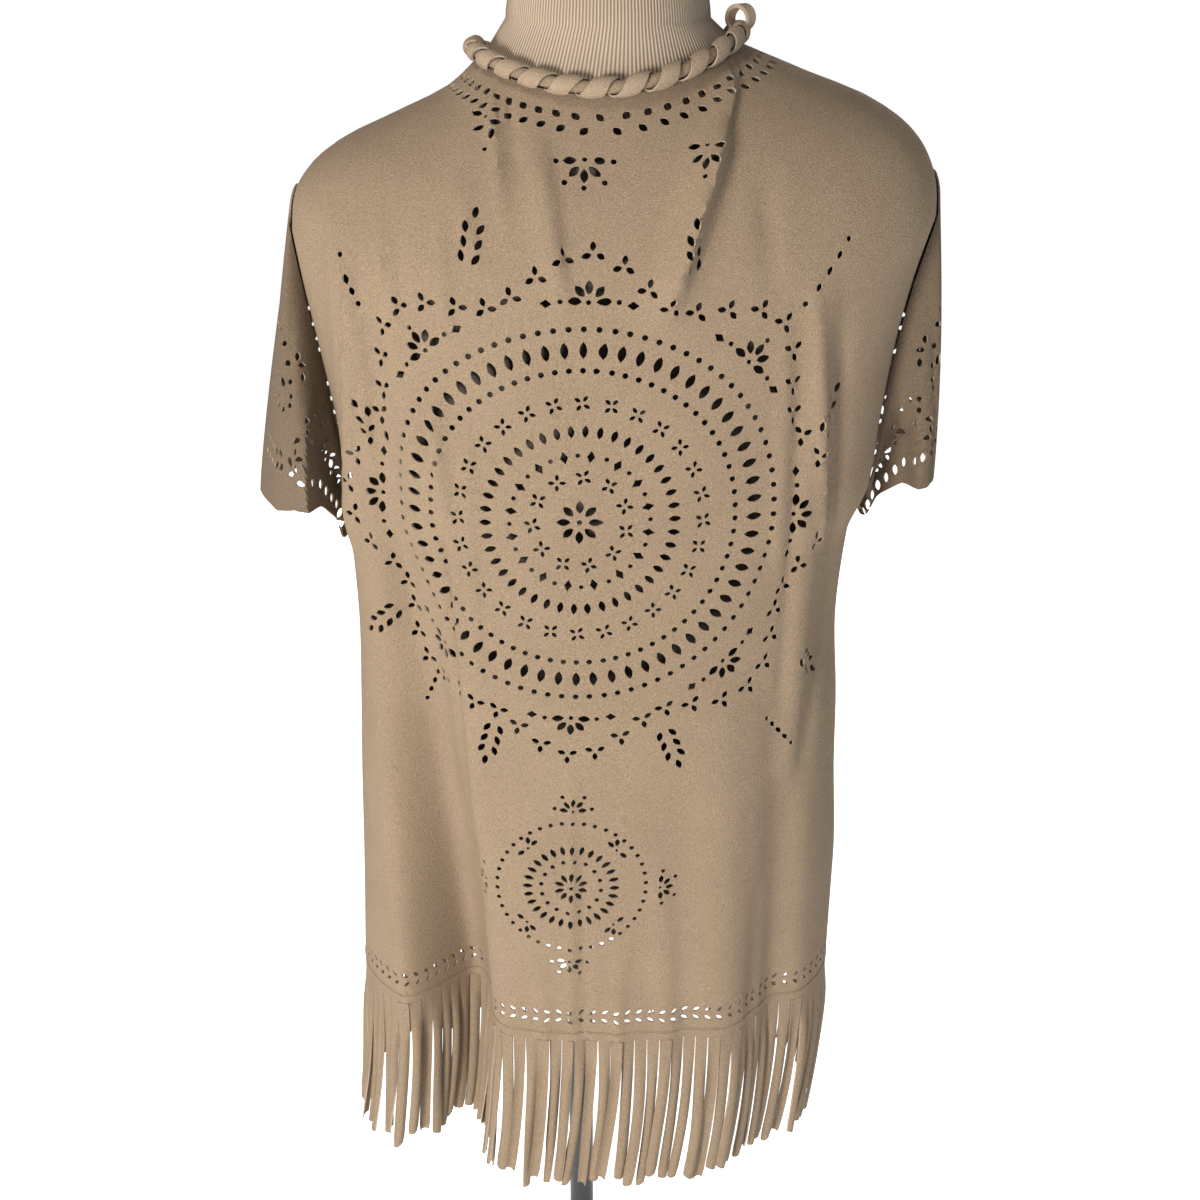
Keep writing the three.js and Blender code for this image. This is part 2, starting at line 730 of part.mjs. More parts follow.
function loft(rings) {
  const count = rings[0].length;
  const positions = rings.flat().flatMap((point) => point.toArray());
  const faces = [];
  const at = (k, i) => k * count + (i % count);
  for (let k = 0; k < rings.length - 1; k += 1) {
    for (let i = 0; i < count; i += 1) {
      faces.push(at(k, i), at(k + 1, i), at(k + 1, i + 1));
      faces.push(at(k, i), at(k + 1, i + 1), at(k, i + 1));
    }
  }
  for (let i = 1; i < count - 1; i += 1) {
    faces.push(at(0, 0), at(0, i), at(0, i + 1));
    faces.push(at(rings.length - 1, 0), at(rings.length - 1, i + 1), at(rings.length - 1, i));
  }
  return facingOut(positions, faces);
}
addPiece("form_body", loft(formRings), jersey);

// Round pieces of the stand, turned about an upright axis
function turned(name, outline, x, y, sides, finish) {
  const profile = outline.map(([radius, z]) => new THREE.Vector2(radius, z));
  const geometry = new THREE.LatheGeometry(profile, sides);
  geometry.rotateX(Math.PI / 2);
  const mesh = new THREE.Mesh(geometry, new THREE.MeshStandardMaterial(finish));
  mesh.name = name;
  mesh.position.set(x, y, 0);
  group.add(mesh);
}

const neckX = garmentShift + (rightNeckReach - leftNeckReach) / 2;
turned("neck_cap", [
  [0, neckTop + seamGap],
  [capRadius, neckTop + seamGap],
  [capRadius, neckTop + capHeight - 3],
  [capRadius - 3, neckTop + capHeight],
  [0, neckTop + capHeight],
], neckX, sideLine, 24, blackSteel);

const poleTop = formFoot - collarHeight - seamGap;
turned("pole_collar", [
  [0, poleTop],
  [collarRadius, poleTop],
  [collarRadius, formFoot - seamGap],
  [0, formFoot - seamGap],
], 0, 0, 20, blackSteel);
turned("pole", [
  [0, baseHeight + seamGap],
  [poleRadius, baseHeight + seamGap],
  [poleRadius, poleTop - seamGap],
  [0, poleTop - seamGap],
], 0, 0, 20, blackSteel);
turned("base", [
  [0, 0],
  [baseRadius, 0],
  [baseRadius, baseHeight - 4],
  [baseRadius - 5, baseHeight],
  [0, baseHeight],
], 0, 0, 36, blackSteel);

export default group;
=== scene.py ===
# %% [markdown]
# # A fringed kimono on a dress form
# The object is a short-sleeved kimono of thin faux suede, with cut-out flowers, a neck bound
# with a thong and a fringe at the hem. It hangs on a limbless dress form. We load the packed
# solid model first: it fixes where every piece goes.

# %% Load the frame
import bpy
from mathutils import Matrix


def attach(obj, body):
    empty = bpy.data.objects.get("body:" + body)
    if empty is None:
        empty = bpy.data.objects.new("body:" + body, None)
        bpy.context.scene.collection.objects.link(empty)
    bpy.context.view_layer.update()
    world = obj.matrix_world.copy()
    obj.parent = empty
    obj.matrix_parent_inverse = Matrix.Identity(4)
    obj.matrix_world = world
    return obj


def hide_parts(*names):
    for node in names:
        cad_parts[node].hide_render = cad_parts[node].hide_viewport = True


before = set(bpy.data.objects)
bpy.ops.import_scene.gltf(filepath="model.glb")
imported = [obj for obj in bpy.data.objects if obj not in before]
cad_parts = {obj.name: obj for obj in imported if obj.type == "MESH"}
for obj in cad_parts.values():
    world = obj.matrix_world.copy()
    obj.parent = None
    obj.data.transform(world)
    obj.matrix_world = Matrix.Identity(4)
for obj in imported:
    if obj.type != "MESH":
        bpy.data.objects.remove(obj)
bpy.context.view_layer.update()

# %% [markdown]
# ## Camera
# The picture is taken from behind the wearer, a metre away, a little above the neck and tilted
# down. A camera with no shift and a lens a little longer than normal gives the same view.

# %% Camera
import math
import random
import bpy
import bmesh
import numpy as np
from mathutils import Matrix, Vector
from mathutils.geometry import delaunay_2d_cdt

MM = 0.001
camera_place, camera_tilt = (16, -1043, 1230), 24.5
camera_data = bpy.data.cameras.new("camera")
camera_data.sensor_width, camera_data.lens = 36, 47.28
camera = bpy.data.objects.new("camera", camera_data)
camera.location = [value * MM for value in camera_place]
camera.rotation_euler = (math.radians(90 - camera_tilt), 0, 0)
bpy.context.collection.objects.link(camera)
bpy.context.scene.camera = camera
bpy.context.scene.view_settings.view_transform = "Standard"
print("camera, metres:", [round(v, 3) for v in camera.location])

# %% [markdown]
# ## Sizes
# All sizes are in millimetres and are the same ones that the solid model was made from, so
# each visible piece lies exactly on its solid. The tables give half widths and depths at
# several heights; a smooth curve runs between the rows.

# %% Sizes of the garment
garment_shift = 16
cloth_half = 0.6
hem_height = 459
armhole_foot = 845
neck_heights = dict(back=1117, left=1132, right=1140, front=1084)
shoulder_heights = dict(back=990, left=1030, right=1040, front=985)
neck_reach = dict(back=66, left=74, right=84, front=78)
side_line = -10
row_columns = ("z", "left", "right", "back", "front", "power")
body_rows = [dict(zip(row_columns, row)) for row in (
    (459, 186, 179, 110, 106, 2.1), (552, 181, 179, 110, 106, 2.2), (641, 177, 174, 110, 107, 2.3),
    (691, 174, 172, 110, 108, 2.4), (764, 171, 167, 110, 111, 2.5), (827, 172, 171, 110, 117, 2.6),
    (862, 172, 184, 110, 120, 2.6), (907, 177, 188, 110, 121, 2.6), (956, 185, 194, 110, 117, 2.6),
    (997, 192, 202, 110, 110, 2.6), (1040, 198, 214, 110, 100, 2.6))]
shoulder_rows = [dict(zip(("drop", "left", "right", "middle"), row)) for row in (
    (0, 0, 0, 0), (0.18, 0.17, 0.35, 0.33), (0.33, 0.43, 0.65, 0.55), (0.5, 0.735, 0.85, 0.75),
    (0.64, 0.89, 0.935, 0.87), (0.78, 0.97, 0.98, 0.955), (0.88, 0.99, 0.995, 0.985), (1, 1, 1, 1))]

# %% [markdown]
# ## Folds
# Cloth that hangs free falls in long folds. Each fold is a soft ridge or hollow that runs
# between two points. The first ones are in the solid model too; the small creases after them
# are too shallow for it and are only made here.

# %% Folds
fold_columns = ("top_z", "foot_z", "top_x", "foot_x", "left", "right", "top_rise", "foot_rise")
back_folds = [dict(zip(fold_columns, row)) for row in (
    (1122, 975, 78, 34, 24, 12, 9, 6), (1118, 985, -45, -24, 14, 14, 2.5, 2),
    (1060, 800, -160, -166, 10, 14, 3, 5), (1010, 740, -140, -136, 16, 18, -4, -7),
    (860, 400, -132, -116, 34, 52, -4, -64), (940, 600, -112, -92, 22, 26, 3, 7),
    (1030, 640, 136, 134, 20, 14, 3, 5), (1000, 720, 148, 152, 10, 12, -4, -3),
    (760, 400, 84, 92, 34, 30, 2, 9), (740, 400, 126, 134, 22, 22, -3, -12))]
small_creases = [dict(zip(fold_columns, row)) for row in (
    (1128, 1035, -64, -54, 9, 2.5, 3.0, 2.0), (1124, 1055, -56, -46, 4, 5, -2.2, -1.2),
    (1108, 985, -36, -18, 12, 6, 2.6, 2.2), (1060, 960, -96, -92, 5, 6, 1.3, 1.1),
    (1055, 940, -118, -122, 6, 6, -1.4, -1.8), (1010, 820, -148, -150, 5, 5, 1.6, 1.8),
    (1000, 800, 112, 116, 8, 8, 1.2, 1.6), (980, 700, 124, 122, 6, 6, -1.4, -1.6),
    (930, 720, -84, -80, 7, 7, 1.3, 1.2), (880, 640, -100, -98, 6, 6, -1.6, -1.6),
    (700, 420, -20, -21, 5, 5, 1.0, 1.3), (640, 420, -11, -12, 5, 5, -0.9, -1.2),
    (620, 420, 40, 52, 14, 14, 1.0, 2.4), (560, 420, 16, 12, 9, 9, 0.8, 2.2),
    (540, 420, -44, -40, 8, 8, 0.6, 2.0), (600, 420, 112, 112, 10, 10, -0.8, -2.6),
    (820, 640, 146, 140, 10, 12, -1.5, -3.0), (1085, 990, 96, 104, 12, 12, -2.2, -1.0),
    (1055, 812, -150, -167, 2.5, 9, 2.8, 3.0), (1060, 998, -130, -131, 4, 4, 1.8, 1.8),
    (962, 832, -102.6, -100, 4, 7, 1.8, 2.0), (1022, 810, 126, 148, 5, 9, 2.8, 3.2),
    (1160, 985, 89, 38, 15, 5, 4.8, 3.2), (1080, 1010, -84, -70, 10, 6, 1.4, 1.0),
    (900, 400, -104, -84, 50, 6, -3, -10))]
crease_depth = 1.5
front_folds = [dict(zip(fold_columns, row)) for row in (
    (930, 400, 88, 84, 26, 30, 3, 13), (880, 400, 128, 130, 22, 22, -3, -15),
    (800, 400, 58, 52, 16, 14, -1, -7))]
fold_fade, fold_fade_share = 45, 0.4
fold_start, crease_start, side_fade, side_lean = 0.3, 0.09, 0.3, 0.45
print("folds and creases:", len(back_folds) + len(small_creases) + len(front_folds))

# %% [markdown]
# ## The surface of the body
# A point on the garment is named by an angle round the body (0 is the middle of the back) and
# a row (0 neckline, 1 end of the shoulders, 2 foot of the armholes, 3 hem). Working from such
# a rule, and not from a stored mesh, lets us lay fine cloth, holes and stitches on one shape.

# %% Curves between table rows
def ease(share):
    share = min(1.0, max(0.0, share))
    return share * share * (3 - 2 * share)


def mix(start, end, share):
    return start + (end - start) * share


def along(rows, key, at, column):
    """Value of a table's column between its rows, on a smooth curve that never overshoots."""
    last = len(rows) - 1
    if at <= rows[0][key]:
        return rows[0][column]
    if at >= rows[last][key]:
        return rows[last][column]
    i = 0
    while at > rows[i + 1][key]:
        i += 1

    def slope(k):
        return (rows[k + 1][column] - rows[k][column]) / (rows[k + 1][key] - rows[k][key])

    def bend(k):
        if k == 0:
            return slope(0)
        if k == last:
            return slope(last - 1)
        before, after = slope(k - 1), slope(k)
        return 0 if before * after <= 0 else 2 * before * after / (before + after)

    step = rows[i + 1][key] - rows[i][key]
    s = (at - rows[i][key]) / step
    rest = 1 - s
    return (rows[i][column] * rest * rest * (1 + 2 * s) + rows[i + 1][column] * s * s * (3 - 2 * s)
            + bend(i) * step * s * rest * rest - bend(i + 1) * step * s * s * rest)


# %% The body's surface
def quarter(theta, sizes):
    """Sine and cosine of an angle, and the half width and reach that hold on its side."""
    side, depth = math.sin(theta), math.cos(theta)
    return (side, depth, sizes["left" if side < 0 else "right"],
            sizes["back" if depth > 0 else "front"])


def around(theta, sizes):
    side, _, width, reach = quarter(theta, sizes)
    return mix(reach, width, side * side)


def oval(theta, sizes, power, z):
    side, depth, width, reach = quarter(theta, sizes)
    return Vector((math.copysign(width * abs(side) ** (2 / power), side),
                   side_line - math.copysign(reach * abs(depth) ** (2 / power), depth), z))


sections = {}


def body_section(theta, z):
    key = round(z, 2)
    if key not in sections:
        sections[key] = {name: along(body_rows, "z", z, name) for name in row_columns[1:]}
    return oval(theta, sections[key], sections[key]["power"], z)


def smooth_body(theta, row):
    shoulder_z = around(theta, shoulder_heights)
    if row >= 2:
        return body_section(theta, mix(armhole_foot, hem_height, row - 2))
    if row >= 1:
        return body_section(theta, mix(shoulder_z, armhole_foot, row - 1))
    neck_z = around(theta, neck_heights)
    neck = oval(theta, neck_reach, 2, neck_z)
    end = body_section(theta, shoulder_z)
    side = math.sin(theta)
    middle, flank = (along(shoulder_rows, "drop", row, column)
                     for column in ("middle", "left" if side < 0 else "right"))
    reach = mix(middle, flank, side * side)
    return Vector((mix(neck.x, end.x, reach), mix(neck.y, end.y, reach),
                   mix(neck_z, shoulder_z, row)))


# %% Folds on the surface
def rise(folds, x, z):
    total = 0
    for fold in folds:
        if not fold["foot_z"] <= z <= fold["top_z"]:
            continue
        length = fold["top_z"] - fold["foot_z"]
        down = (fold["top_z"] - z) / length
        away = x - mix(fold["top_x"], fold["foot_x"], down)
        half = fold["left"] if away < 0 else fold["right"]
        if abs(away) < half:
            fade = min(fold_fade, fold_fade_share * length)
            total += (mix(fold["top_rise"], fold["foot_rise"], down)
                      * math.cos(away / half * math.pi / 2) ** 2
                      * ease((fold["top_z"] - z) / fade) * ease((z - fold["foot_z"]) / fade))
    return total


def body(theta, row):
    point = smooth_body(theta, row)
    depth = math.cos(theta)
    if depth > 0:
        height = (rise(back_folds, point.x, point.z) * ease(row / fold_start)
                  + crease_depth * rise(small_creases, point.x, point.z) * ease(row / crease_start))
    else:
        height = rise(front_folds, abs(point.x), point.z) * ease(row / fold_start)
    height *= ease(abs(depth) / side_fade)
    outward = Vector((math.sin(theta) * side_lean, -depth, 0)).normalized()
    return point + outward * height


def normal_of(surface, first, second, step_first=0.0105, step_second=0.008):
    across = surface(first + step_first, second) - surface(first - step_first, second)
    down = surface(first, second + step_second) - surface(first, max(0, second - step_second))
    return down.cross(across).normalized()


def body_at(theta, row, lift=0.0):
    return body(theta, row) + normal_of(body, theta, row) * lift


print("hem at the middle of the back:", [round(v) for v in body(0, 3)])

# %% [markdown]
# ## A flat chart of each panel
# A tailor cuts cloth flat. We do the same: each panel has a flat chart, measured in
# millimetres across and up, and a rule that lays a point of the chart on the body. Holes are
# drawn on the chart, and a triangulation joins outline, holes and an even grid of points.

# %% Chart of a body panel
armhole_half, armhole_top, armhole_end = math.radians(11), 0.78, 2
seam_gap, chart_step, panel_start = 0.3, 3.0, 0.012
hem_margin, top_margin, side_margin = 3, 2, 3


def armhole_angle(row):
    off = (row - (armhole_top + armhole_end) / 2) / ((armhole_end - armhole_top) / 2)
    return 0 if abs(off) >= 1 else armhole_half * math.sqrt(1 - off * off)


def level_line(row, start, end, steps=150):
    angles = np.linspace(start, end, steps + 1)
    points = np.array([body(a, row) for a in angles])
    runs = np.linalg.norm(np.diff(points, axis=0), axis=1)
    return angles, np.concatenate([[0], np.cumsum(runs)]), points


# %% The chart
class Chart:
    """Level lines every few millimetres; u runs along them and v is the height."""

    def __init__(self, side, edges, zero_x):
        self.neck_z, self.shoulder_z = neck_heights[side], shoulder_heights[side]
        top = mix(self.neck_z, self.shoulder_z, panel_start)
        self.heights = np.arange(hem_height, top + chart_step, chart_step)
        self.heights[-1] = top
        self.lines = []
        for z in self.heights:
            row = self.row(z)
            angles, lengths, points = level_line(row, *edges(row))
            self.lines.append((angles, lengths - np.interp(zero_x(z), points[:, 0], lengths)))

    def row(self, z):
        """The row of a height, counted from the neckline down."""
        if z <= armhole_foot:
            return 2 + (armhole_foot - z) / (armhole_foot - hem_height)
        if z <= self.shoulder_z:
            return 1 + (self.shoulder_z - z) / (self.shoulder_z - armhole_foot)
        return (self.neck_z - z) / (self.neck_z - self.shoulder_z)

    def edge(self, v, side):
        ends = [line[1][0 if side < 0 else -1] for line in self.lines]
        return float(np.interp(v, self.heights, ends)) - side * seam_gap / 2

    def spot(self, u, v):
        """Angle and row of a place on the chart."""
        j = min(len(self.heights) - 2, max(0, np.searchsorted(self.heights, v) - 1))
        share = (v - self.heights[j]) / (self.heights[j + 1] - self.heights[j])
        low, high = (float(np.interp(u, self.lines[k][1], self.lines[k][0])) for k in (j, j + 1))
        return mix(low, high, share), self.row(v)

    def across(self, theta, v):
        """How far along the level line of height v an angle lies."""
        lengths = [float(np.interp(theta, *line)) for line in self.lines]
        return float(np.interp(v, self.heights, lengths))

    def place(self, u, v, lift=0.0):
        return body_at(*self.spot(u, v), lift)

    def holds(self, u, v, reach):
        """Whether a hole of that reach stays clear of the panel's edges."""
        low, high = hem_height + hem_margin, self.heights[-1] - top_margin
        left, right = self.edge(v, -1), self.edge(v, 1)
        return (low < v - reach and v + reach < high
                and left + reach + side_margin < u < right - reach - side_margin)


def leaning(side, top_x, foot_x):
    """The rule of a line that leans from top_x at the neck to foot_x at the hem."""
    neck_z = neck_heights[side]
    return lambda z: mix(top_x, foot_x, (neck_z - z) / (neck_z - hem_height))


# %% [markdown]
# ## Cut-out shapes
# The flowers are built from a few punches, as a laser cutter's file would be: a petal, a
# diamond and a dot. A punch is drawn in true size and turned, then stretched by the chart's
# own scale at that place, so that it comes out undistorted on the slope of the shoulder.

# %% Punches
def polar(middle, reach, a):
    """The spot that lies that far from middle in direction a, clockwise from straight up."""
    return middle[0] + reach * math.sin(a), middle[1] + reach * math.cos(a)


def petal(length, width, points=5):
    fullness = 0.72
    half = [(width / 2 * math.sin(math.pi * k / (points + 1)) ** fullness,
             length * (k / (points + 1) - 0.5)) for k in range(1, points + 1)]
    return ([(0, -length / 2)] + half + [(0, length / 2)] + [(-x, y) for x, y in reversed(half)])


def diamond(length, width):
    return [(0, -length / 2), (width / 2, 0), (0, length / 2), (-width / 2, 0)]


def dot(width, points=8):
    return [(width / 2 * math.sin(2 * math.pi * k / points),
             width / 2 * math.cos(2 * math.pi * k / points)) for k in range(points)]


# %% Rings, flowers and leaves
def punch(shape, spot, turn=0.0):
    c, s = math.cos(turn), math.sin(turn)
    return (*spot, [(x * c - y * s, x * s + y * c) for x, y in shape])


def around_ring(middle, radius, count, shape, start=0.0):
    angles = [start + 2 * math.pi * k / count for k in range(count)]
    return [punch(shape, polar(middle, radius, a), -a) for a in angles]


def blossom(middle, size=1.0, start=0.3):
    return around_ring(middle, 3.6 * size, 4, petal(4.5 * size, 2.6 * size), start)


def trefoil(middle, out):
    return [punch(petal(5.9, 3.6), polar(middle, reach, out + turn), -(out + turn))
            for turn, reach in ((0, 4.0), (1.95, 4.3), (-1.95, 4.3))]


def half_flower(middle, out, size=1.0, flank=True):
    """Five petals that fan outwards from a dot, with dots and diamonds on either side."""
    cuts = [punch(dot(3.2 * size), middle)]
    for k in range(5):
        a = out + (k - 2) * math.radians(43)
        cuts.append(punch(petal(8.6 * size, 4.9 * size), polar(middle, 8.8 * size, a), -a))
    cuts.append(punch(dot(3.4 * size), polar(middle, 15.2 * size, out)))
    for side in (-1, 1) if flank else ():
        a = out + side * math.pi / 2
        for reach, shape, drop in ((17.6, dot(3.4), 0.4), (26.2, diamond(7.6, 5.4), -1.6)):
            cuts.append(punch(shape, polar(polar(middle, reach, a), drop, out), -a))
    return cuts


def sprig(middle, out, pairs=3, size=1.0):
    """A short branch: pairs of leaves that point to the tip, and a leaf at the end."""
    leaf, tilt = petal(7.6 * size, 4.1 * size), 0.45
    cuts = []
    for k in range(pairs):
        u, v = polar(middle, (k - pairs / 2) * 8.4 * size, out)
        for side in (-1, 1):
            spread = side * 4.6 * size
            spot = (u + spread * math.cos(out), v - spread * math.sin(out))
            cuts.append(punch(leaf, spot, -(out + side * tilt)))
    cuts.append(punch(leaf, polar(middle, (pairs / 2) * 8.4 * size, out), -out))
    return cuts


def dot_line(start, end, count=5):
    turn = math.atan2(start[0] - end[0], end[1] - start[1])
    cuts = []
    for share in (k / (count - 1) for k in range(count)):
        length = 4.0 + 2.4 * math.sin(math.pi * share)
        cuts.append(punch(petal(length, 3.4), [mix(a, b, share) for a, b in zip(start, end)], turn))
    return cuts


print("punches in a half flower:", len(half_flower((0, 0), 0)))

# %% [markdown]
# ## The pattern on the back
# Rings round one middle make the big round ornament, as on many traditional eyelet cloths. A
# smaller one sits below it. Each line says the radius, how many punches and which punch.

# %% Big and small round ornaments
def big_round(middle):
    cuts = [punch(dot(3.6), middle)] + around_ring(middle, 10.2, 8, petal(9.0, 5.0))
    for k in range(11):
        a = 2 * math.pi * (k + 0.1) / 11
        cuts += blossom(polar(middle, 30, a), 1.0, a + 0.5)
    cuts += around_ring(middle, 44, 16, diamond(8.6, 5.2), 0.15)
    cuts += around_ring(middle, 44.5, 16, dot(3.2), 0.15 + math.pi / 16)
    cuts += around_ring(middle, 60, 42, petal(8.2, 4.1), 0.04)
    for k in range(28):
        a = 2 * math.pi * k / 28
        cuts += blossom(polar(middle, 78, a), 1.0, a + 0.6)
    cuts += around_ring(middle, 98.5, 72, dot(3.9))
    cuts += around_ring(middle, 111, 60, petal(10.6, 5.2))
    cuts += around_ring(middle, 124, 84, dot(4.0))
    for k in range(8):
        a = k * math.pi / 4 + 0.02
        cuts += half_flower(polar(middle, 140, a), a)
    for k in range(56):
        a = 2 * math.pi * (k + 0.25) / 56
        cuts += trefoil(polar(middle, 157 + 11.5 * math.cos(8 * a), a), a)
    return cuts


def small_round(middle):
    cuts = [punch(dot(3.2), middle)] + around_ring(middle, 8.9, 10, petal(7.6, 3.6))
    cuts += around_ring(middle, 21.5, 16, dot(3.5), 0.1)
    cuts += around_ring(middle, 31, 28, petal(7.8, 3.7))
    cuts += around_ring(middle, 53, 42, dot(3.4))
    for k in range(4):
        a = math.pi / 4 + k * math.pi / 2
        cuts += half_flower(polar(middle, 44, a), a, 0.72, False)
        a = k * math.pi / 2
        away = polar(middle, 63, a)
        cuts += half_flower(away, a, 0.75, False)
        cuts += [punch(dot(3.2), polar(away, 13.2, a + turn))
                 for turn in (-1.45, -0.62, 0.62, 1.45)]
    return cuts


print("punches in the two rounds:", len(big_round((0, 0))), "and", len(small_round((0, 0))))

# %% Rows along the neck and the hem
row_end_gap, walk_step = 12, 0.003


def leaf_pairs(chart, line_v, lower_v, count, leaf, tilt):
    """Two rows of slanting leaves that mirror each other across a line."""
    left, right = chart.edge(line_v, -1) + row_end_gap, chart.edge(line_v, 1) - row_end_gap
    cuts = []
    for k in range(count):
        u = mix(left, right, k / (count - 1))
        side = -1 if k < count / 2 else 1
        cuts += [punch(leaf, (u, line_v), -side * tilt), punch(leaf, (u, lower_v), side * tilt)]
    return cuts


def neck_leaves(chart, distance, spread, count, leaf, tilt):
    """A row of slanting leaves that keeps one distance from the neckline."""
    cuts = []
    for k in range(count):
        theta = mix(-spread, spread, k / (count - 1))
        start, row = body(theta, panel_start), panel_start
        while (body(theta, row) - start).length < distance:
            row += walk_step
        v = mix(chart.neck_z, chart.shoulder_z, row)
        side = -1 if k < count / 2 else 1
        cuts.append(punch(leaf, (chart.across(theta, v), v), side * tilt))
    return cuts


# %% [markdown]
# ## Laying cloth with holes on the body
# The chart is triangulated once, with the outline and the holes as fixed edges. Every point is
# then lifted to both faces of the cloth, and the open borders are closed with a narrow wall in
# a paler cut-edge colour: that pale rim is what tells the eye that the cloth has a thickness.

# %% True shape of a hole
def on_cloth(place, u0, v0, outline):
    """Chart points of a punch that keeps its true shape on the body."""
    step = 1.0
    pu = (place(u0 + step, v0) - place(u0 - step, v0)) / (2 * step)
    pv = (place(u0, v0 + step) - place(u0, v0 - step)) / (2 * step)
    along_u = pu.normalized()
    slide = pv.dot(along_u)
    upright = (pv - along_u * slide).length
    return [(u0 + (a - b / upright * slide) / pu.length, v0 + b / upright) for a, b in outline]


def counter_clockwise(ring):
    turn = sum(a[0] * b[1] - a[1] * b[0] for a, b in zip(ring, ring[1:] + ring[:1]))
    return ring if turn > 0 else ring[::-1]


# %% Triangles of a flat panel
row_share, hole_margin = 0.87, 0.9


def cut_cloth(outline, holes, pitch):
    """Triangles of a flat outline with holes: returns chart points and triangles."""
    outline = counter_clockwise(outline)
    points = [Vector(p) for p in outline]
    faces = [list(range(len(outline)))]
    centres = []
    for hole in map(counter_clockwise, holes):
        start = len(points)
        points += [Vector(p) for p in hole]
        faces.append(list(range(start, len(points))))
        middle = np.mean(hole, axis=0)
        centres.append((*middle, max(math.dist(p, middle) for p in hole)))
    centres = np.array(centres) if centres else np.zeros((0, 3))
    ring = np.array(outline)
    low, high = ring.min(0), ring.max(0)
    rows = int((high[1] - low[1]) / (pitch * row_share))
    inner = []
    for j in range(1, rows):
        v = low[1] + j * pitch * row_share
        crossing = sorted(a[0] + (b[0] - a[0]) * (v - a[1]) / (b[1] - a[1])
                          for a, b in zip(ring, np.roll(ring, -1, axis=0))
                          if (a[1] - v) * (b[1] - v) < 0)
        for left, right in zip(crossing[::2], crossing[1::2]):
            u = left + pitch * (0.6 + 0.5 * (j % 2))
            while u < right - pitch * 0.55:
                inner.append((u, v))
                u += pitch
    inner = np.array(inner)
    keep = np.ones(len(inner), bool)
    for u, v, reach in centres:
        keep &= np.hypot(inner[:, 0] - u, inner[:, 1] - v) > reach + hole_margin
    points += [Vector(p) for p in inner[keep]]
    verts, _, tris, _, _, origin = delaunay_2d_cdt(points, [], faces, 1, 1e-4)
    solid = [t for t, inside_of in zip(tris, origin) if set(inside_of) == {0}]
    return [tuple(v) for v in verts], solid


# %% Mesh objects
def finish_mesh(name, points, faces, finishes, kinds=None, uvs=None, smooth=True, cusp=None):
    """A mesh object in metres from points in millimetres; kinds gives each face's finish."""
    mesh = bpy.data.meshes.new(name)
    mesh.from_pydata([((x + garment_shift) * MM, y * MM, z * MM) for x, y, z in points], [], faces)
    for finish in finishes:
        mesh.materials.append(finish)
    if kinds is not None:
        mesh.polygons.foreach_set("material_index", kinds)
    mesh.polygons.foreach_set("use_smooth", [smooth] * len(faces))
    if uvs is not None:
        layer = mesh.uv_layers.new(name="chart")
        for loop in mesh.loops:
            layer.data[loop.index].uv = uvs[loop.vertex_index]
    obj = bpy.data.objects.new(name, mesh)
    bpy.context.collection.objects.link(obj)
    if cusp is not None:
        mesh.set_sharp_from_angle(angle=cusp)
    return obj


def edit_mesh(obj, change):
    mesh = bmesh.new()
    mesh.from_mesh(obj.data)
    change(mesh)
    mesh.to_mesh(obj.data)
    mesh.free()


# %% Lay a cloth
cloth_cusp, weld_distance = math.radians(50), 0.02


def lay_cloth(name, chart_points, tris, place, finishes, weld=None):
    """Both faces of a cloth and the walls of its open borders."""
    count = len(chart_points)
    outer = [place(u, v, cloth_half) for u, v in chart_points]
    inner = [place(u, v, -cloth_half) for u, v in chart_points]
    a, b, c = tris[0]
    if (outer[b] - outer[a]).cross(outer[c] - outer[a]).dot(outer[a] - inner[a]) < 0:
        tris = [t[::-1] for t in tris]
    faces = [tuple(t) for t in tris] + [tuple(k + count for k in reversed(t)) for t in tris]
    kinds = [0] * len(faces)
    directed = {(t[k], t[(k + 1) % 3]) for t in tris for k in range(3)}
    for a, b in directed:
        if (b, a) not in directed and not (weld and weld(chart_points[a], chart_points[b])):
            faces.append((b, a, a + count, b + count))
            kinds.append(1)
    uvs = [(u * MM, v * MM) for u, v in chart_points] * 2
    obj = finish_mesh(name, outer + inner, faces, finishes, kinds, uvs, cusp=cloth_cusp)
    if weld:
        edit_mesh(obj, lambda mesh: bmesh.ops.remove_doubles(
            mesh, verts=mesh.verts, dist=weld_distance * MM))
    print(name, "has", len(faces), "faces")
    return obj


# %% [markdown]
# ## Suede
# Faux suede is a short nap on a thin knit: matt, and mottled where the nap lies in different
# directions. Noise of two sizes tints the colour, and two fine bumps break up the light like
# the nap's grain. Cut edges show the paler core. The sleeves get a darker copy of the suede:
# painted shade, for the shadow they hang in beside the body.

# %% Helpers for finishes
def dial(node, **values):
    """Sets a node's inputs; an underscore in a name stands for a space."""
    for entry, value in values.items():
        node.inputs[entry.replace("_", " ")].default_value = value


def new_finish(name, colour, roughness):
    material = bpy.data.materials.new(name)
    material.use_nodes = True
    tree = material.node_tree
    shader = tree.nodes["Principled BSDF"]
    dial(shader, Base_Color=(*colour, 1), Roughness=roughness)
    return material, shader, tree, tree.nodes.new("ShaderNodeTexCoord").outputs


def noise(tree, coordinates, scale, detail=2.0):
    node = tree.nodes.new("ShaderNodeTexNoise")
    dial(node, Scale=scale, Detail=detail)
    tree.links.new(coordinates, node.inputs["Vector"])
    return node.outputs["Fac"]


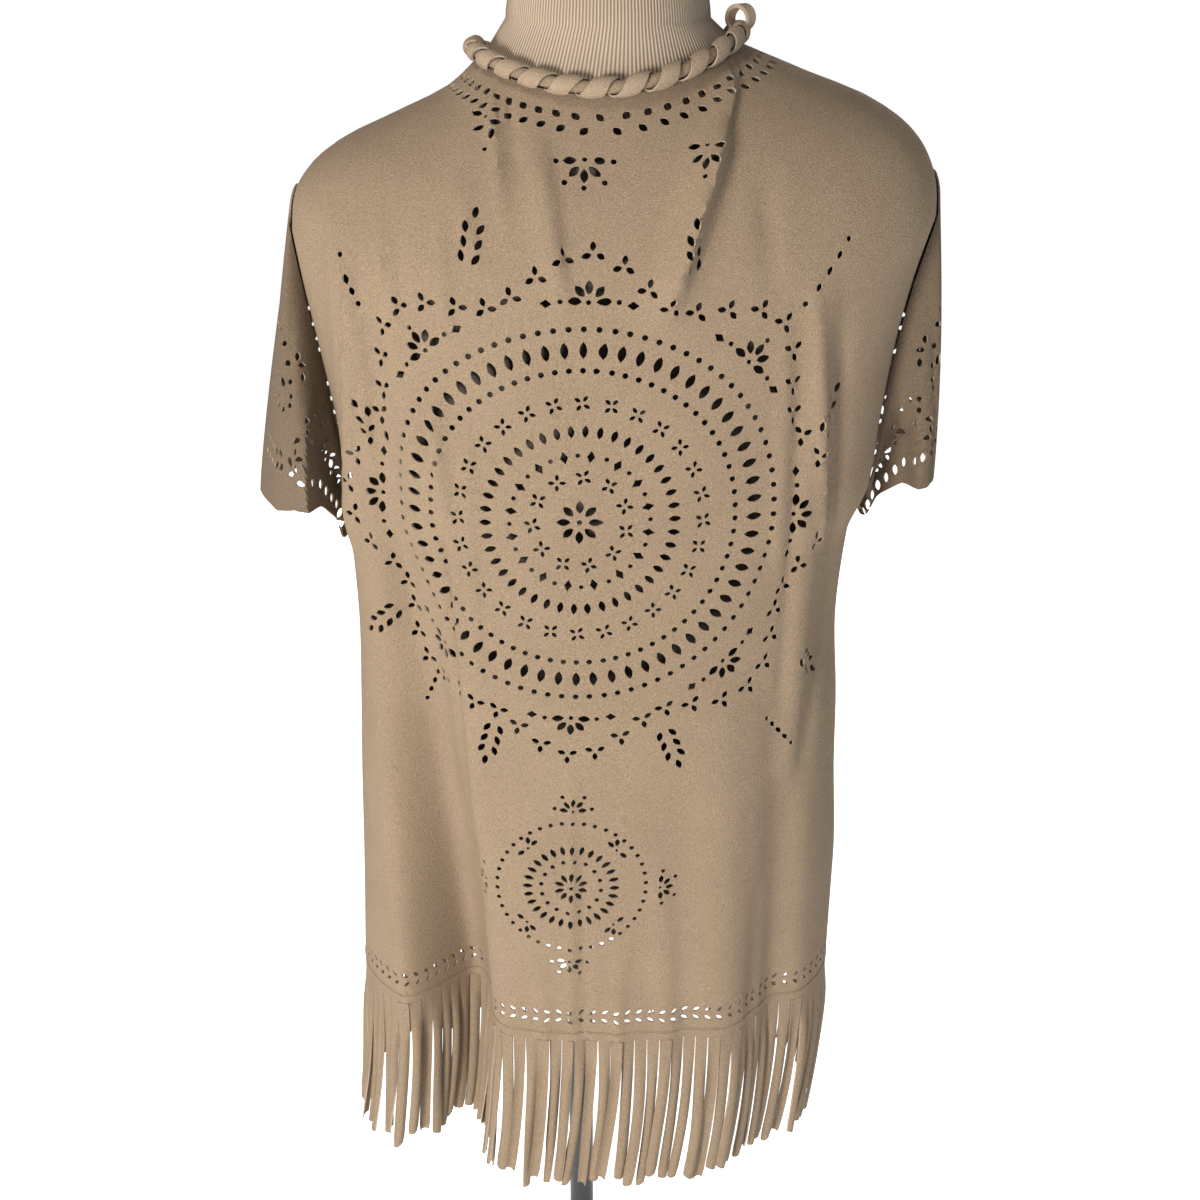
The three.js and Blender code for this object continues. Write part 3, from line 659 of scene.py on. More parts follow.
def ramp(tree, value, stops):
    node = tree.nodes.new("ShaderNodeValToRGB")
    while len(node.color_ramp.elements) < len(stops):
        node.color_ramp.elements.new(0.5)
    for element, (position, colour) in zip(node.color_ramp.elements, stops):
        element.position = position
        element.color = (*colour, 1)
    tree.links.new(value, node.inputs["Fac"])
    return node.outputs["Color"]


def blend(tree, kind, share, first, second):
    node = tree.nodes.new("ShaderNodeMix")
    node.data_type = "RGBA"
    node.blend_type = kind
    node.inputs["Factor"].default_value = share
    tree.links.new(first, node.inputs[6])
    tree.links.new(second, node.inputs[7])
    return node.outputs[2]


def bump(tree, shader, layers):
    normal = None
    for height, strength, distance in layers:
        node = tree.nodes.new("ShaderNodeBump")
        dial(node, Strength=strength, Distance=distance)
        tree.links.new(height, node.inputs["Height"])
        if normal is not None:
            tree.links.new(normal, node.inputs["Normal"])
        normal = node.outputs["Normal"]
    tree.links.new(normal, shader.inputs["Normal"])


# %% Suede
def make_suede(name, dark, mid, pale):
    material, shader, tree, place = new_finish(name, mid, 0.95)
    nap = noise(tree, place["Object"], 1250, 4)
    cloud = noise(tree, place["Object"], 22, 3)
    speck = noise(tree, place["Object"], 2200, 2)
    tint = ramp(tree, nap, ((0.25, dark), (0.52, mid), (0.8, pale)))
    wash = ramp(tree, cloud, ((0.3, (0.93, 0.93, 0.93)), (0.7, (1, 1, 1))))
    tree.links.new(blend(tree, "MULTIPLY", 1.0, tint, wash), shader.inputs["Base Color"])
    dial(shader, Specular_IOR_Level=0.08, Sheen_Weight=0.03, Sheen_Roughness=0.5)
    bump(tree, shader, ((nap, 1.0, 0.0007), (speck, 0.3, 0.00015)))
    return material


suede = make_suede("suede", (0.155, 0.112, 0.072), (0.238, 0.175, 0.117), (0.335, 0.252, 0.175))
thong_suede = make_suede("thong_suede", (0.2, 0.15, 0.102), (0.3, 0.226, 0.157),
                         (0.4, 0.31, 0.225))
# A darker copy of the suede for both sleeves: painted shade for the shadow beside the body.
sleeve_suede_painted_shade = make_suede("sleeve_suede_painted_shade", (0.09, 0.066, 0.045), (0.143, 0.105, 0.071),
                          (0.205, 0.153, 0.106))
cut_edge = make_suede("cut_edge", (0.26, 0.2, 0.145), (0.33, 0.26, 0.19), (0.4, 0.325, 0.245))
print("finishes so far:", [m.name for m in (suede, thong_suede, sleeve_suede_painted_shade, cut_edge)])

# %% [markdown]
# ## The back
# The back is one panel from neck to hem. Its middle line hangs a little askew, as in the
# picture, so the chart's zero follows that line and the ornaments follow the chart.

# %% Chart of the back
def back_edges(row):
    edge = math.pi / 2 - armhole_angle(row)
    return -edge, edge


back_chart = Chart("back", back_edges, leaning("back", -6, -23.5))
print("back, level lines:", len(back_chart.lines))

# %% Pattern of the back
back_cuts = big_round((0, 863)) + small_round((0, 587.5))
neck_leaf, neck_spread, neck_tilt = petal(6.6, 4.8), math.radians(84), 0.8
back_cuts += neck_leaves(back_chart, 13.5, neck_spread, 25, neck_leaf, -neck_tilt)
back_cuts += neck_leaves(back_chart, 22.5, neck_spread, 26, neck_leaf, neck_tilt)
neck_flower = (-2, 1082)
back_cuts += half_flower(neck_flower, math.pi, 1.0, False)
back_cuts += [punch(dot(3.6), polar(neck_flower, 17, math.pi + turn))
              for turn in (-1.5, -0.75, 0.75, 1.5)]
for spot in ((-68, 1096), (71, 1086)):
    back_cuts += half_flower(spot, math.pi, 0.95, False)
for spot, out in (((-70, 1037), 0.12), ((69, 1035), -0.12), ((166, 918), 0.75),
                  ((-146, 908), -0.75), ((-156, 772), -2.3), ((170, 745), 2.3),
                  ((-58, 700), -2.9), ((66, 698), 2.75)):
    back_cuts += sprig(spot, out)
for start, end in (((-158, 1004), (-144, 978)), ((135, 986), (170, 1016)),
                   ((-128, 712), (-112, 744)), ((134, 712), (156, 688))):
    back_cuts += dot_line(start, end)
hem_leaves = dict(line_v=478, lower_v=470.5, leaf=petal(5.8, 3.0), tilt=0.85)
back_cuts += leaf_pairs(back_chart, count=60, **hem_leaves)
print("punches in the back:", len(back_cuts))

# %% Keep the holes apart
bridge = 0.8


def touches(first, second):
    """Whether two holes come closer than the narrowest bridge of cloth between them."""
    (middle, reach, ring, _), (other_middle, other_reach, other_ring, _) = first, second
    apart = np.linalg.norm(middle - other_middle)
    if apart > reach + other_reach + bridge:
        return False
    gaps = np.linalg.norm(ring[:, None] - other_ring[None], axis=2)
    return apart < 0.5 * max(reach, other_reach) or gaps.min() < bridge


def clear_cuts(cuts, allowed, place):
    """Holes in chart points, without the punches that would run off or into one already cut."""
    kept = []
    for u, v, shape in cuts:
        reach = max(math.hypot(x, y) for x, y in shape)
        if not allowed(u, v, reach):
            continue
        hole = on_cloth(place, u, v, shape)
        cut = (np.array(place(u, v)), reach, np.array([place(*point) for point in hole]), hole)
        if not any(touches(cut, other) for other in kept):
            kept.append(cut)
    return [cut[-1] for cut in kept]


back_holes = clear_cuts(back_cuts, back_chart.holds, back_chart.place)
print("holes in the back:", len(back_holes))

# %% Lay the back
def panel_outline(chart, pitch):
    """The border of a panel: up its left edge, along the top, down the right, along the hem."""
    heights = np.linspace(chart.heights[0], chart.heights[-1],
                          int((chart.heights[-1] - chart.heights[0]) / pitch))
    left, right = ([(chart.edge(v, side), float(v)) for v in heights] for side in (-1, 1))

    def level(start, end):
        count = int(abs(end[0] - start[0]) / pitch)
        return [(mix(start[0], end[0], k / count), start[1]) for k in range(1, count)]

    return left + level(left[-1], right[-1]) + right[::-1] + level(right[0], left[0])


border_pitch, cloth_pitch = 4.0, 5.0
back_points, back_tris = cut_cloth(panel_outline(back_chart, border_pitch), back_holes, cloth_pitch)
back = lay_cloth("back_cloth", back_points, back_tris, back_chart.place, (suede, cut_edge))


# %% Hang each piece on the root
def declare(obj, node=None):
    """Hangs the piece on the root and hides the solid that it stands for."""
    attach(obj, "root")
    if node:
        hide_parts(node)


def declare_cloth(obj, node):
    """Declares a cloth piece in the same way as any other piece. Declares a cloth piece
    with the flat size of its cut, a little over what shows.
    """
    declare(obj, node)


declare_cloth(back, "back")

# %% [markdown]
# ## The fronts
# The fronts can't be seen from behind, so they are plain panels that hang open at the middle.
# Only the double row of leaves above the hem runs on round them.

# %% Fronts
front_edge_x = leaning("front", 36, 46)
front_search_from, front_search_step = 0.97, math.radians(0.2)


def front_edges(side):
    def edges(row):
        edge = math.pi * front_search_from
        point = body(edge, row)
        while abs(point.x) < front_edge_x(point.z):
            edge -= front_search_step
            point = body(edge, row)
        ends = (side * (math.pi / 2 + armhole_angle(row)), side * edge)
        return ends if side > 0 else ends[::-1]
    return edges


front_border_pitch, front_pitch = 6, 7.5
for side, name in ((-1, "left"), (1, "right")):
    chart = Chart("front", front_edges(side), lambda z: 0)
    holes = clear_cuts(leaf_pairs(chart, count=22, **hem_leaves), chart.holds, chart.place)
    points, tris = cut_cloth(panel_outline(chart, front_border_pitch), holes, front_pitch)
    front = lay_cloth("front_cloth_" + name, points, tris, chart.place, (suede, cut_edge))
    declare_cloth(front, "front_" + name)

# %% [markdown]
# ## The sleeves
# A sleeve is a wide tube sewn into the armhole. Its chart is the tube slit along the top and
# rolled flat; the two slit edges meet again on the body, so no wall is built there.

# %% Shape of a sleeve
sleeve_sizes = {
    "left": dict(side=-1, outer=237, inner=177, depth=68, outer_z=843, ridge_z=853, inner_z=814,
                 skew=0.45, lap=2.1),
    "right": dict(side=1, outer=225, inner=182, depth=45, outer_z=869, ridge_z=861, inner_z=828,
                  skew=2, lap=2.25)}
sleeve_middle, sleeve_hollow, sleeve_length = -8, 20, 190.0
sleeve_border_pitch, sleeve_pitch, slit_width = 5, 5.5, 0.01
sleeve_creases = ((0.62, 0.16, 3.4), (1.15, 0.13, -2.6), (1.75, 0.2, 3.0), (2.35, 0.16, -2.4))


def sleeve_point(size, turn, down):
    middle, half = (armhole_top + armhole_end) / 2, (armhole_end - armhole_top) / 2
    theta = size["side"] * (math.pi / 2 - armhole_half * math.sin(turn))
    seam = body_at(theta, middle - half * math.cos(turn), size["lap"])
    backward = math.sin(turn)
    inward = ((1 - math.cos(turn)) / 2) ** size["skew"]
    end_z = size["outer_z"] if math.cos(turn) > 0 else size["inner_z"]
    hem = Vector((size["side"] * mix(size["outer"], size["inner"], inward),
                  sleeve_middle - math.copysign(size["depth"] * abs(backward) ** 0.8, backward),
                  mix(end_z, size["ridge_z"], backward * backward)))
    share = 1 - (1 - down) ** (1.15 + 1.5 * backward * backward)
    point = Vector((mix(seam.x, hem.x, share), mix(seam.y, hem.y, share), mix(seam.z, hem.z, down)))
    crease = sum(height * math.exp(-((turn - at) / width) ** 2)
                 for at, width, height in sleeve_creases)
    crease -= sleeve_hollow * ease((turn - 1.62) / 0.3) * ease((2.9 - turn) / 0.5)
    point.y -= crease * ease(down / 0.5) * ease(abs(backward) / 0.3)
    return point


# %% Chart of a sleeve
turn_step, down_step = 0.02, 0.01


def sleeve_place(size, radius):
    def surface(turn, down):
        return sleeve_point(size, turn, min(1.0, max(0.0, down)))

    def place(u, v, lift=0.0):
        turn, down = u / radius, 1 - v / sleeve_length
        across = surface(turn + turn_step, down) - surface(turn - turn_step, down)
        run = surface(turn, down + down_step) - surface(turn, down - down_step)
        out = across.cross(run).normalized() * size["side"]
        return surface(turn, down) + out * lift
    return place


# %% Pattern of a sleeve
def sleeve_cuts(wide):
    """Leaves along the rim, four flowers in rings of dots, and two sprigs with a blossom."""
    pairs = int(wide / 9.6)
    leaf, tilt = petal(8.0, 4.4), 0.85
    cuts = []
    for k in range(pairs):
        u = (k + 0.5) * wide / pairs
        cuts += [punch(leaf, (u, 42), tilt), punch(leaf, (u, 32), -tilt)]
    for k, v in ((0.13, 96), (0.32, 112), (0.7, 112), (0.87, 96)):
        cuts += half_flower((k * wide, v), math.pi, 0.95, False)
        cuts += around_ring((k * wide, v + 4), 25, 16, dot(4.0))
    for k in (0.22, 0.78):
        cuts += sprig((k * wide, 66), 0.0, 2, 0.9) + blossom((k * wide, 142), 1.3)
    return cuts


def rectangle(wide, high, steps, rows):
    return ([(0.0, high * k / rows) for k in range(rows)]
            + [(wide * k / steps, high) for k in range(steps)]
            + [(wide, high * (1 - k / rows)) for k in range(rows)]
            + [(wide * (1 - k / steps), 0.0) for k in range(steps)])


# %% Lay the sleeves
for name, size in sleeve_sizes.items():
    turns = np.linspace(0, 2 * math.pi, 60)
    loops = [np.array([sleeve_point(size, t, d) for t in turns]) for d in (0.0, 0.6, 1.0)]
    radius = float(np.mean([np.linalg.norm(np.diff(loop, axis=0), axis=1).sum()
                            for loop in loops])) / (2 * math.pi)
    place, wide = sleeve_place(size, radius), 2 * math.pi * radius
    holes = clear_cuts(sleeve_cuts(wide), lambda u, v, reach: reach + 2 < u < wide - reach - 2,
                       place)
    outline = rectangle(wide, sleeve_length, int(wide / sleeve_border_pitch),
                        int(sleeve_length / sleeve_border_pitch))
    points, tris = cut_cloth(outline, holes, sleeve_pitch)

    def on_slit(a, b, wide=wide):
        return max(a[0], b[0]) < slit_width or min(a[0], b[0]) > wide - slit_width

    sleeve = lay_cloth("sleeve_cloth_" + name, points, tris, place, (sleeve_suede_painted_shade, cut_edge),
                       on_slit)
    declare_cloth(sleeve, "sleeve_" + name)

# %% [markdown]
# ## The bound neck
# The neck edge is rolled and whip-stitched with a wide flat thong. The roll is a soft tube.
# The thong is one long band that winds round it like the stripe on a barber's pole: a sweep
# with a flat, slightly crowned section, whose pale cut edges catch the light.

# %% Roll and its frame of directions
roll_radius, core_radius, roll_lift, roll_end, wrap_count = 5.3, 3.6, 6.8, 155, 22


def roll_frame(share):
    theta = math.radians(mix(-roll_end, roll_end, share))
    middle = body_at(theta, 0, roll_lift)
    ahead = (body_at(theta + 0.01, 0, roll_lift) - body_at(theta - 0.01, 0, roll_lift)).normalized()
    out = normal_of(body, theta, 0)
    out = (out - ahead * out.dot(ahead)).normalized()
    return middle, ahead, out, ahead.cross(out)


# %% Swept pieces
def skin(count, rings):
    """Faces between rings of count points each, and the two flat ends."""
    faces = []
    for k in range(0, (rings - 1) * count, count):
        for i in range(count):
            j = (i + 1) % count
            faces.append((k + i, k + j, k + count + j, k + count + i))
    last = (rings - 1) * count
    return faces + [tuple(range(count))[::-1], tuple(range(last, last + count))]


def turn_outward(obj):
    edit_mesh(obj, lambda mesh: bmesh.ops.recalc_face_normals(mesh, faces=mesh.faces))


def tube(name, frames, section, finishes, kinds=None):
    """Sweeps a closed section (list of offsets) along frames of (middle, first, second)."""
    points = [middle + first * a + second * b
              for k, (middle, first, second) in enumerate(frames) for a, b in section(k)]
    count = len(section(0))
    face_kinds = (kinds or [0] * count) * (len(frames) - 1) + [1 if kinds else 0] * 2
    obj = finish_mesh(name, points, skin(count, len(frames)), finishes, face_kinds,
                      cusp=math.radians(45))
    turn_outward(obj)
    return obj


# %% Roll
roll_steps, roll_sides, roll_swell = 260, 16, 0.35
roll_frames = [roll_frame(k / roll_steps) for k in range(roll_steps + 1)]


def roll_section(k):
    share = k / roll_steps
    points = []
    for s in range(roll_sides):
        a = 2 * math.pi * s / roll_sides
        pinch = math.cos((share * wrap_count - a / (2 * math.pi)) * 2 * math.pi)
        radius = core_radius + roll_swell * max(0, -pinch)
        points.append((radius * math.cos(a), radius * math.sin(a)))
    return points


roll = tube("neck_roll", [(m, o, u) for m, _, o, u in roll_frames], roll_section,
            (suede, cut_edge))
print("roll faces:", len(roll.data.polygons))

# %% The thong
band_width, band_waver, band_thick, band_sink, band_crown = 13.6, 0.04, 1.15, 0.35, 0.75
wrap_steps, slack_most = 26, 0.35


def thong_frames():
    frames = []
    total = wrap_count * wrap_steps
    wobble = random.Random(7)
    slack = [wobble.uniform(-slack_most, slack_most) for _ in range(wrap_count + 2)]
    for k in range(total + 1):
        turns = k / wrap_steps
        share = turns / wrap_count
        middle, ahead, out, up = roll_frame(share)
        a = 2 * math.pi * turns
        radial = out * math.cos(a) - up * math.sin(a)
        whole = int(turns)
        lift = mix(slack[whole], slack[whole + 1], turns - whole)
        radius = roll_radius - band_sink + 0.5 * lift
        frames.append((middle + radial * radius, ahead, radial))
    return frames


def thong_section(k):
    half = band_width / 2 * (1 - band_waver + band_waver * math.sin(k * 0.61))
    lower, upper = [], []
    for s in range(5):
        x = mix(-half, half, s / 4)
        lift = band_crown * (1 - (x / half) ** 2) - band_sink
        lower.append((x, lift))
        upper.append((x, lift + band_thick))
    return lower + upper[::-1]


thong_kinds = [0, 0, 0, 0, 1, 0, 0, 0, 0, 1]
thong = tube("neck_thong", thong_frames(), thong_section, (thong_suede, cut_edge), thong_kinds)

# %% The slack loop of the thong
loop_angle, loop_middle, loop_inner, loop_band, loop_half_wide = 84, 8.0, 5.9, 2.5, 3.3
loop_foot, loop_pinch = 9.0, 0.6
loop_turn = Matrix.Rotation(math.radians(-33), 3, "Z")
seat = body_at(math.radians(loop_angle), 0, roll_lift) + Vector((0, 0, loop_middle))
loop_radius = loop_inner + loop_band / 2
arc = [(loop_radius * math.cos(a), loop_radius * math.sin(a))
       for a in np.linspace(-loop_pinch, math.pi + loop_pinch, 36)]
path = [(1.0, -loop_foot)] + arc + [(-1.0, -loop_foot)]
loop_frames = []
for k, (x, z) in enumerate(path):
    before, after = path[max(0, k - 1)], path[min(len(path) - 1, k + 1)]
    direction = Vector((after[0] - before[0], 0, after[1] - before[1])).normalized()
    twist = 0.35 * math.sin(k / len(path) * math.pi * 2)
    across = Vector((math.sin(twist) * direction.z, math.cos(twist),
                     -math.sin(twist) * direction.x))
    loop_frames.append((seat + loop_turn @ Vector((x, 0, z)), loop_turn @ across.normalized(),
                        loop_turn @ direction.cross(across).normalized()))


def loop_section(_):
    half, thick = loop_half_wide, loop_band / 2
    return [(-half, -thick), (0, -thick * 1.1), (half, -thick), (half, thick),
            (0, thick * 1.1), (-half, thick)]


loop = tube("neck_loop", loop_frames, loop_section, (thong_suede, cut_edge), [0, 0, 1, 0, 0, 1])
declare(roll, "neck_binding")
declare(thong)
declare(loop)
print("neck binding:", len(thong.data.polygons), "faces on the thong")

# %% [markdown]
# ## The fringe
# Each strand is cut from one strip and stays joined to it at the top. In use the strands curl
# and turn a little, so each one gets its own turn, curl, lean and slanting tip from a seeded
# random draw: the picture is the same at every run.

# %% Sizes and walls of the strands
strip_height, strand_pitch, strand_gap = 6.2, 9.2, 0.8
strand_length, strand_uneven, strand_lean, fringe_trim = 142, 7, -9, 1.2
strand_half, strand_slit, strand_columns, strand_rows, strand_tip = 0.6, 0.35, 4, 16, 0.86


def wobble_of(k, seed):
    value = math.sin(k * 12.9898 + seed * 78.233) * 43758.5453
    return (value - math.floor(value)) * 2 - 1


upward = Vector((0, 0, 1))


def same_way(direction, guide):
    return -direction if direction.dot(guide) < 0 else direction


def thin_wall(points, faces, kinds, columns, rows, at):
    """Adds a closed thin wall; at(i, j) gives the middle and the half thickness vector."""
    base, width, side = len(points), columns + 1, (columns + 1) * (rows + 1)
    for face in (1, -1):
        for j in range(rows + 1):
            for i in range(columns + 1):
                middle, thick = at(i, j)
                points.append(middle + thick * face)
    for j in range(rows):
        for i in range(columns):
            a = base + j * width + i
            b, c, d = a + 1, a + 1 + width, a + width
            faces.append((d, c, b, a))
            faces.append((a + side, b + side, c + side, d + side))
            kinds.extend((0, 0))
    rim = [(i, 0) for i in range(columns)] + [(columns, j) for j in range(rows)]
    rim += [(i, rows) for i in range(columns, 0, -1)] + [(0, j) for j in range(rows, 0, -1)]
    for (i, j), (k, m) in zip(rim, rim[1:] + rim[:1]):
        a, b = base + j * width + i, base + m * width + k
        faces.append((a, b, b + side, a + side))
        kinds.append(1)


# %% Fringe
def fringe(name, node, start, end, seed):
    """One strip with its strands below the hem between two angles."""
    angles, lengths, _ = level_line(3, start, end, 180)
    usable = lengths[-1] - 2 * fringe_trim
    count = int((usable + strand_gap) / strand_pitch)
    pitch = (usable + strand_gap) / count
    draw = random.Random(seed)
    points, faces, kinds = [], [], []

    def hem(length):
        theta = float(np.interp(length, lengths, angles))
        return body(theta, 3), normal_of(body, theta, 3)

    steps = count * 2

    def strip(i, j):
        point, out = hem(mix(fringe_trim, lengths[-1] - fringe_trim, i / steps))
        drop = seam_gap + strip_height * 1.05 * j / 2
        return Vector((point.x, point.y, hem_height - drop)), out * strand_half

    thin_wall(points, faces, kinds, steps, 2, strip)
    for k in range(count):
        left = fringe_trim + k * pitch
        middle, out = hem(left + (pitch - strand_gap) / 2)
        tangent = same_way(upward.cross(out).normalized(), hem(left + 1)[0] - hem(left)[0])
        flat_out = same_way(tangent.cross(upward).normalized(), out)
        half = (pitch - strand_slit) / 2
        foot = strand_length + strand_uneven * wobble_of(k, seed) - seam_gap - strip_height
        turn_end = draw.choice((-1, 1)) * draw.choice((0.06, 0.12, 0.2, 0.3, 0.45, 1.0))
        turn_from = draw.uniform(0.15, 0.5)
        narrow = draw.uniform(0.02, 0.2)
        sway = Vector((2.4 * wobble_of(k, seed + 1) + strand_lean, 2.5 * wobble_of(k, seed + 2), 0))
        wave, phase = draw.uniform(0.3, 2.0), draw.uniform(0, 6.28)
        step_out = (k % 2) * 0.9 + draw.uniform(-0.2, 0.3)
        slant = draw.uniform(-2.4, 2.4)
        curl = draw.choice((-1, 1, 1, 1)) * draw.uniform(1.3, 2.8)

        def strand(i, j):
            share = j / strand_rows
            down = foot * share
            turn = turn_end * ease((share - turn_from) / (1.05 - turn_from))
            across = tangent * math.cos(turn) + flat_out * math.sin(turn)
            facing = flat_out * math.cos(turn) - tangent * math.sin(turn)
            place = (middle + sway * share * share + flat_out * step_out * 2 * ease(share / 0.5)
                     + tangent * wave * math.sin(phase + share * 4.5) * share)
            x = i / strand_columns * 2 - 1
            width = half * (1 - narrow * ease(share / 0.35))
            if j == strand_rows:
                width *= strand_tip
            bow = curl * (1 - x * x) * ease(share / 0.3)
            z = hem_height - seam_gap - strip_height - down + slant * x * share ** 8
            spot = place + across * width * x + facing * bow
            return Vector((spot.x, spot.y, z)), facing * strand_half

        thin_wall(points, faces, kinds, strand_columns, strand_rows, strand)
    obj = finish_mesh(name, points, faces, (suede, cut_edge), kinds, cusp=cloth_cusp)
    declare(obj, node)
    print(name, "has", count, "strands")


hem_edges = {side: front_edges(side)(3) for side in (-1, 1)}
fringe("fringe_back_strands", "fringe_back", -math.pi / 2, math.pi / 2, 3)
fringe("fringe_left_strands", "fringe_front_left", -math.pi / 2, hem_edges[-1][0], 10)
fringe("fringe_right_strands", "fringe_front_right", math.pi / 2, hem_edges[1][1], 12)

# %% [markdown]
# ## Seams
# A row of stitches shows only as a thin dark line in a shallow groove. A fine thread just
# proud of the cloth along the hem, with small regular dips, is enough for the eye.

# %% Hem seam
def mottled(name, colour, roughness, scale, detail, stops, relief=None):
    """A finish with one noise that tints it and, with relief, also roughens it."""
    material, shader, tree, place = new_finish(name, colour, roughness)
    grain = noise(tree, place["Object"], scale, detail)
    tree.links.new(ramp(tree, grain, stops), shader.inputs["Base Color"])
    if relief:
        bump(tree, shader, ((grain, *relief),))
    return material


thread_finish = mottled("thread", (0.2, 0.14, 0.09), 0.9, 900, 2.0,
                        ((0.3, (0.16, 0.11, 0.07)), (0.7, (0.25, 0.18, 0.12))))
thread_radius, stitch_dip = 0.24, 0.15


def stitched_line(name, spots):
    frames = []
    for k, (point, out) in enumerate(spots):
        ahead = spots[min(len(spots) - 1, k + 1)][0] - spots[max(0, k - 1)][0]
        side = out.cross(ahead.normalized()).normalized()
        frames.append((point + out * (stitch_dip * math.sin(k * 2.1)), out, side))
    ring = [(thread_radius * math.cos(a), thread_radius * math.sin(a))
            for a in np.linspace(0, 2 * math.pi, 6)[:-1]]
    declare(tube(name, frames, lambda _: ring, (thread_finish,)))


hem_turns = np.linspace(-math.pi / 2 + 0.01, math.pi / 2 - 0.01, 260)
hem_row = back_chart.row(hem_height + 1.2)
stitched_line("hem_seam", [(body_at(t, hem_row, cloth_half + 0.1), normal_of(body, t, hem_row))
                           for t in hem_turns])
print("hem seam at row", round(hem_row, 4))

# %% [markdown]
# ## The dress form
# The form is foam under an off-white ribbed jersey. The ribs at the neck are real ridges, two
# millimetres apart, because they show as lines against the light; their grooves are painted
# darker too, as painted shade. The form's body below the neck gets a near-black cover: painted
# shade, so that through the holes in the cloth it looks like the shaded inside of the garment.

# %% Jersey
rib_pitch = 2.0
neck_radius, neck_top, form_foot = 61.5, 1190, 505
jersey, shader, tree, place = new_finish("ribbed_jersey", (0.37, 0.3, 0.225), 0.92)
# A wave with one dark stripe per rib paints the grooves darker than the ridges: painted shade in
# the grooves.
rib_groove_shade_mask = tree.nodes.new("ShaderNodeTexWave")
rib_groove_shade_mask.bands_direction = "X"
dial(rib_groove_shade_mask, Scale=math.pi / 10, Distortion=0.15)
tree.links.new(place["UV"], rib_groove_shade_mask.inputs["Vector"])
rib_groove_painted_shade = ramp(tree, rib_groove_shade_mask.outputs["Fac"],
                ((0.1, (0.18, 0.125, 0.082)), (0.6, (0.37, 0.3, 0.225))))
fluff = noise(tree, place["Object"], 1300, 2)
fluff_tint = ramp(tree, fluff, ((0.3, (0.9, 0.9, 0.9)), (0.7, (1, 1, 1))))
tree.links.new(blend(tree, "MULTIPLY", 1.0, rib_groove_painted_shade, fluff_tint), shader.inputs["Base Color"])
dial(shader, Sheen_Weight=0.05)
bump(tree, shader, ((fluff, 0.3, 0.0003),))
# Near-black cover for the form's body: painted shade for the dark inside of the garment.
form_painted_shade_cover = mottled("body_cover_painted_shade", (0.06, 0.047, 0.038), 0.95, 700, 3,
                ((0.3, (0.045, 0.035, 0.028)), (0.7, (0.075, 0.06, 0.048))), (0.3, 0.0003))

# %% Sizes of the form
form_rows = [dict(zip(("z", "width", "back", "front"), row)) for row in (
    (505, 112, 56, 66), (560, 124, 64, 76), (640, 134, 76, 84), (730, 128, 84, 84),
    (800, 134, 90, 94), (880, 150, 98, 108), (940, 164, 100, 104))]
form_clearance, form_ease, dome_ease, shoulder_ease, wall_half = 0.95, 2.4, 1.8, 6, 0.8
rib_count = round(2 * math.pi * neck_radius / rib_pitch)
rib_sides, rib_depth, neck_rings = 6, 0.35, 9
form_columns = rib_count * rib_sides
form_turns = [2 * math.pi * i / form_columns - math.pi for i in range(form_columns)]
neck_middle = (neck_reach["right"] - neck_reach["left"]) / 2


def form_lift(theta, row):
    return (-(wall_half + form_clearance + form_ease * (1 - abs(math.sin(theta)) ** 12))
            - dome_ease * ease(row / 0.18) - shoulder_ease * ease((row - 0.6) / 0.25))


# %% Rings of the form
def neck_ring(z, radius):
    points = []
    for i, theta in enumerate(form_turns):
        reach = radius + rib_depth * math.cos(2 * math.pi * i / rib_sides)
        points.append(Vector((neck_middle + reach * math.sin(theta),
                              side_line - reach * math.cos(theta), z)))
    return points


def coarse_ring(make):
    """A ring worked out at every 8th column and filled in between."""
    angles = np.linspace(-math.pi, math.pi, form_columns // 8 + 1)
    spots = np.array([make(a) for a in angles])
    return [Vector([np.interp(t, angles, spots[:, axis]) for axis in range(3)]) for t in form_turns]


def dome_ring(row):
    return coarse_ring(lambda a: smooth_body(a, row)
                       + normal_of(smooth_body, a, row) * form_lift(a, row))


def body_ring(z):
    size = {name: along(form_rows, "z", z, name) for name in ("width", "back", "front")}
    sizes = dict(left=size["width"], right=size["width"], back=size["back"], front=size["front"])
    return coarse_ring(lambda a: oval(a, sizes, 2.3, z))


# %% Form
rings = [neck_ring(neck_top - 0.2, neck_radius - 4), neck_ring(neck_top - 1.2, neck_radius - 3.2)]
rings += [neck_ring(z, mix(neck_radius + 1.5, neck_radius - 3, ease((z - 1152) / 36)))
          for z in range(1184, 1150, -6)]
rings += [dome_ring(row) for row in (0.02, 0.1, 0.18, 0.33, 0.5, 0.64, 0.78, 0.88)]
rings += [body_ring(z) for z in (940, 880, 800, 730, 640, 560, form_foot)]
form_points = [p for ring in rings for p in ring]
form_faces = [face[::-1] for face in skin(form_columns, len(rings))]
form_uvs = [(i / rib_sides, k * 10.0) for k in range(len(rings)) for i in range(form_columns)]
form_kinds = [0 if k < neck_rings * form_columns else 1 for k in range(len(form_faces))]
form = finish_mesh("dress_form", form_points, form_faces, (jersey, form_painted_shade_cover), form_kinds, form_uvs)
turn_outward(form)
declare(form, "form_body")
print("ribs round the neck:", rib_count)

# %% [markdown]
# ## The stand
# Cap, collar, pole and base are turned and powder coated. Each is a profile spun round an
# upright axis, with small rounded edges, because a sharp edge never looks like real metal.

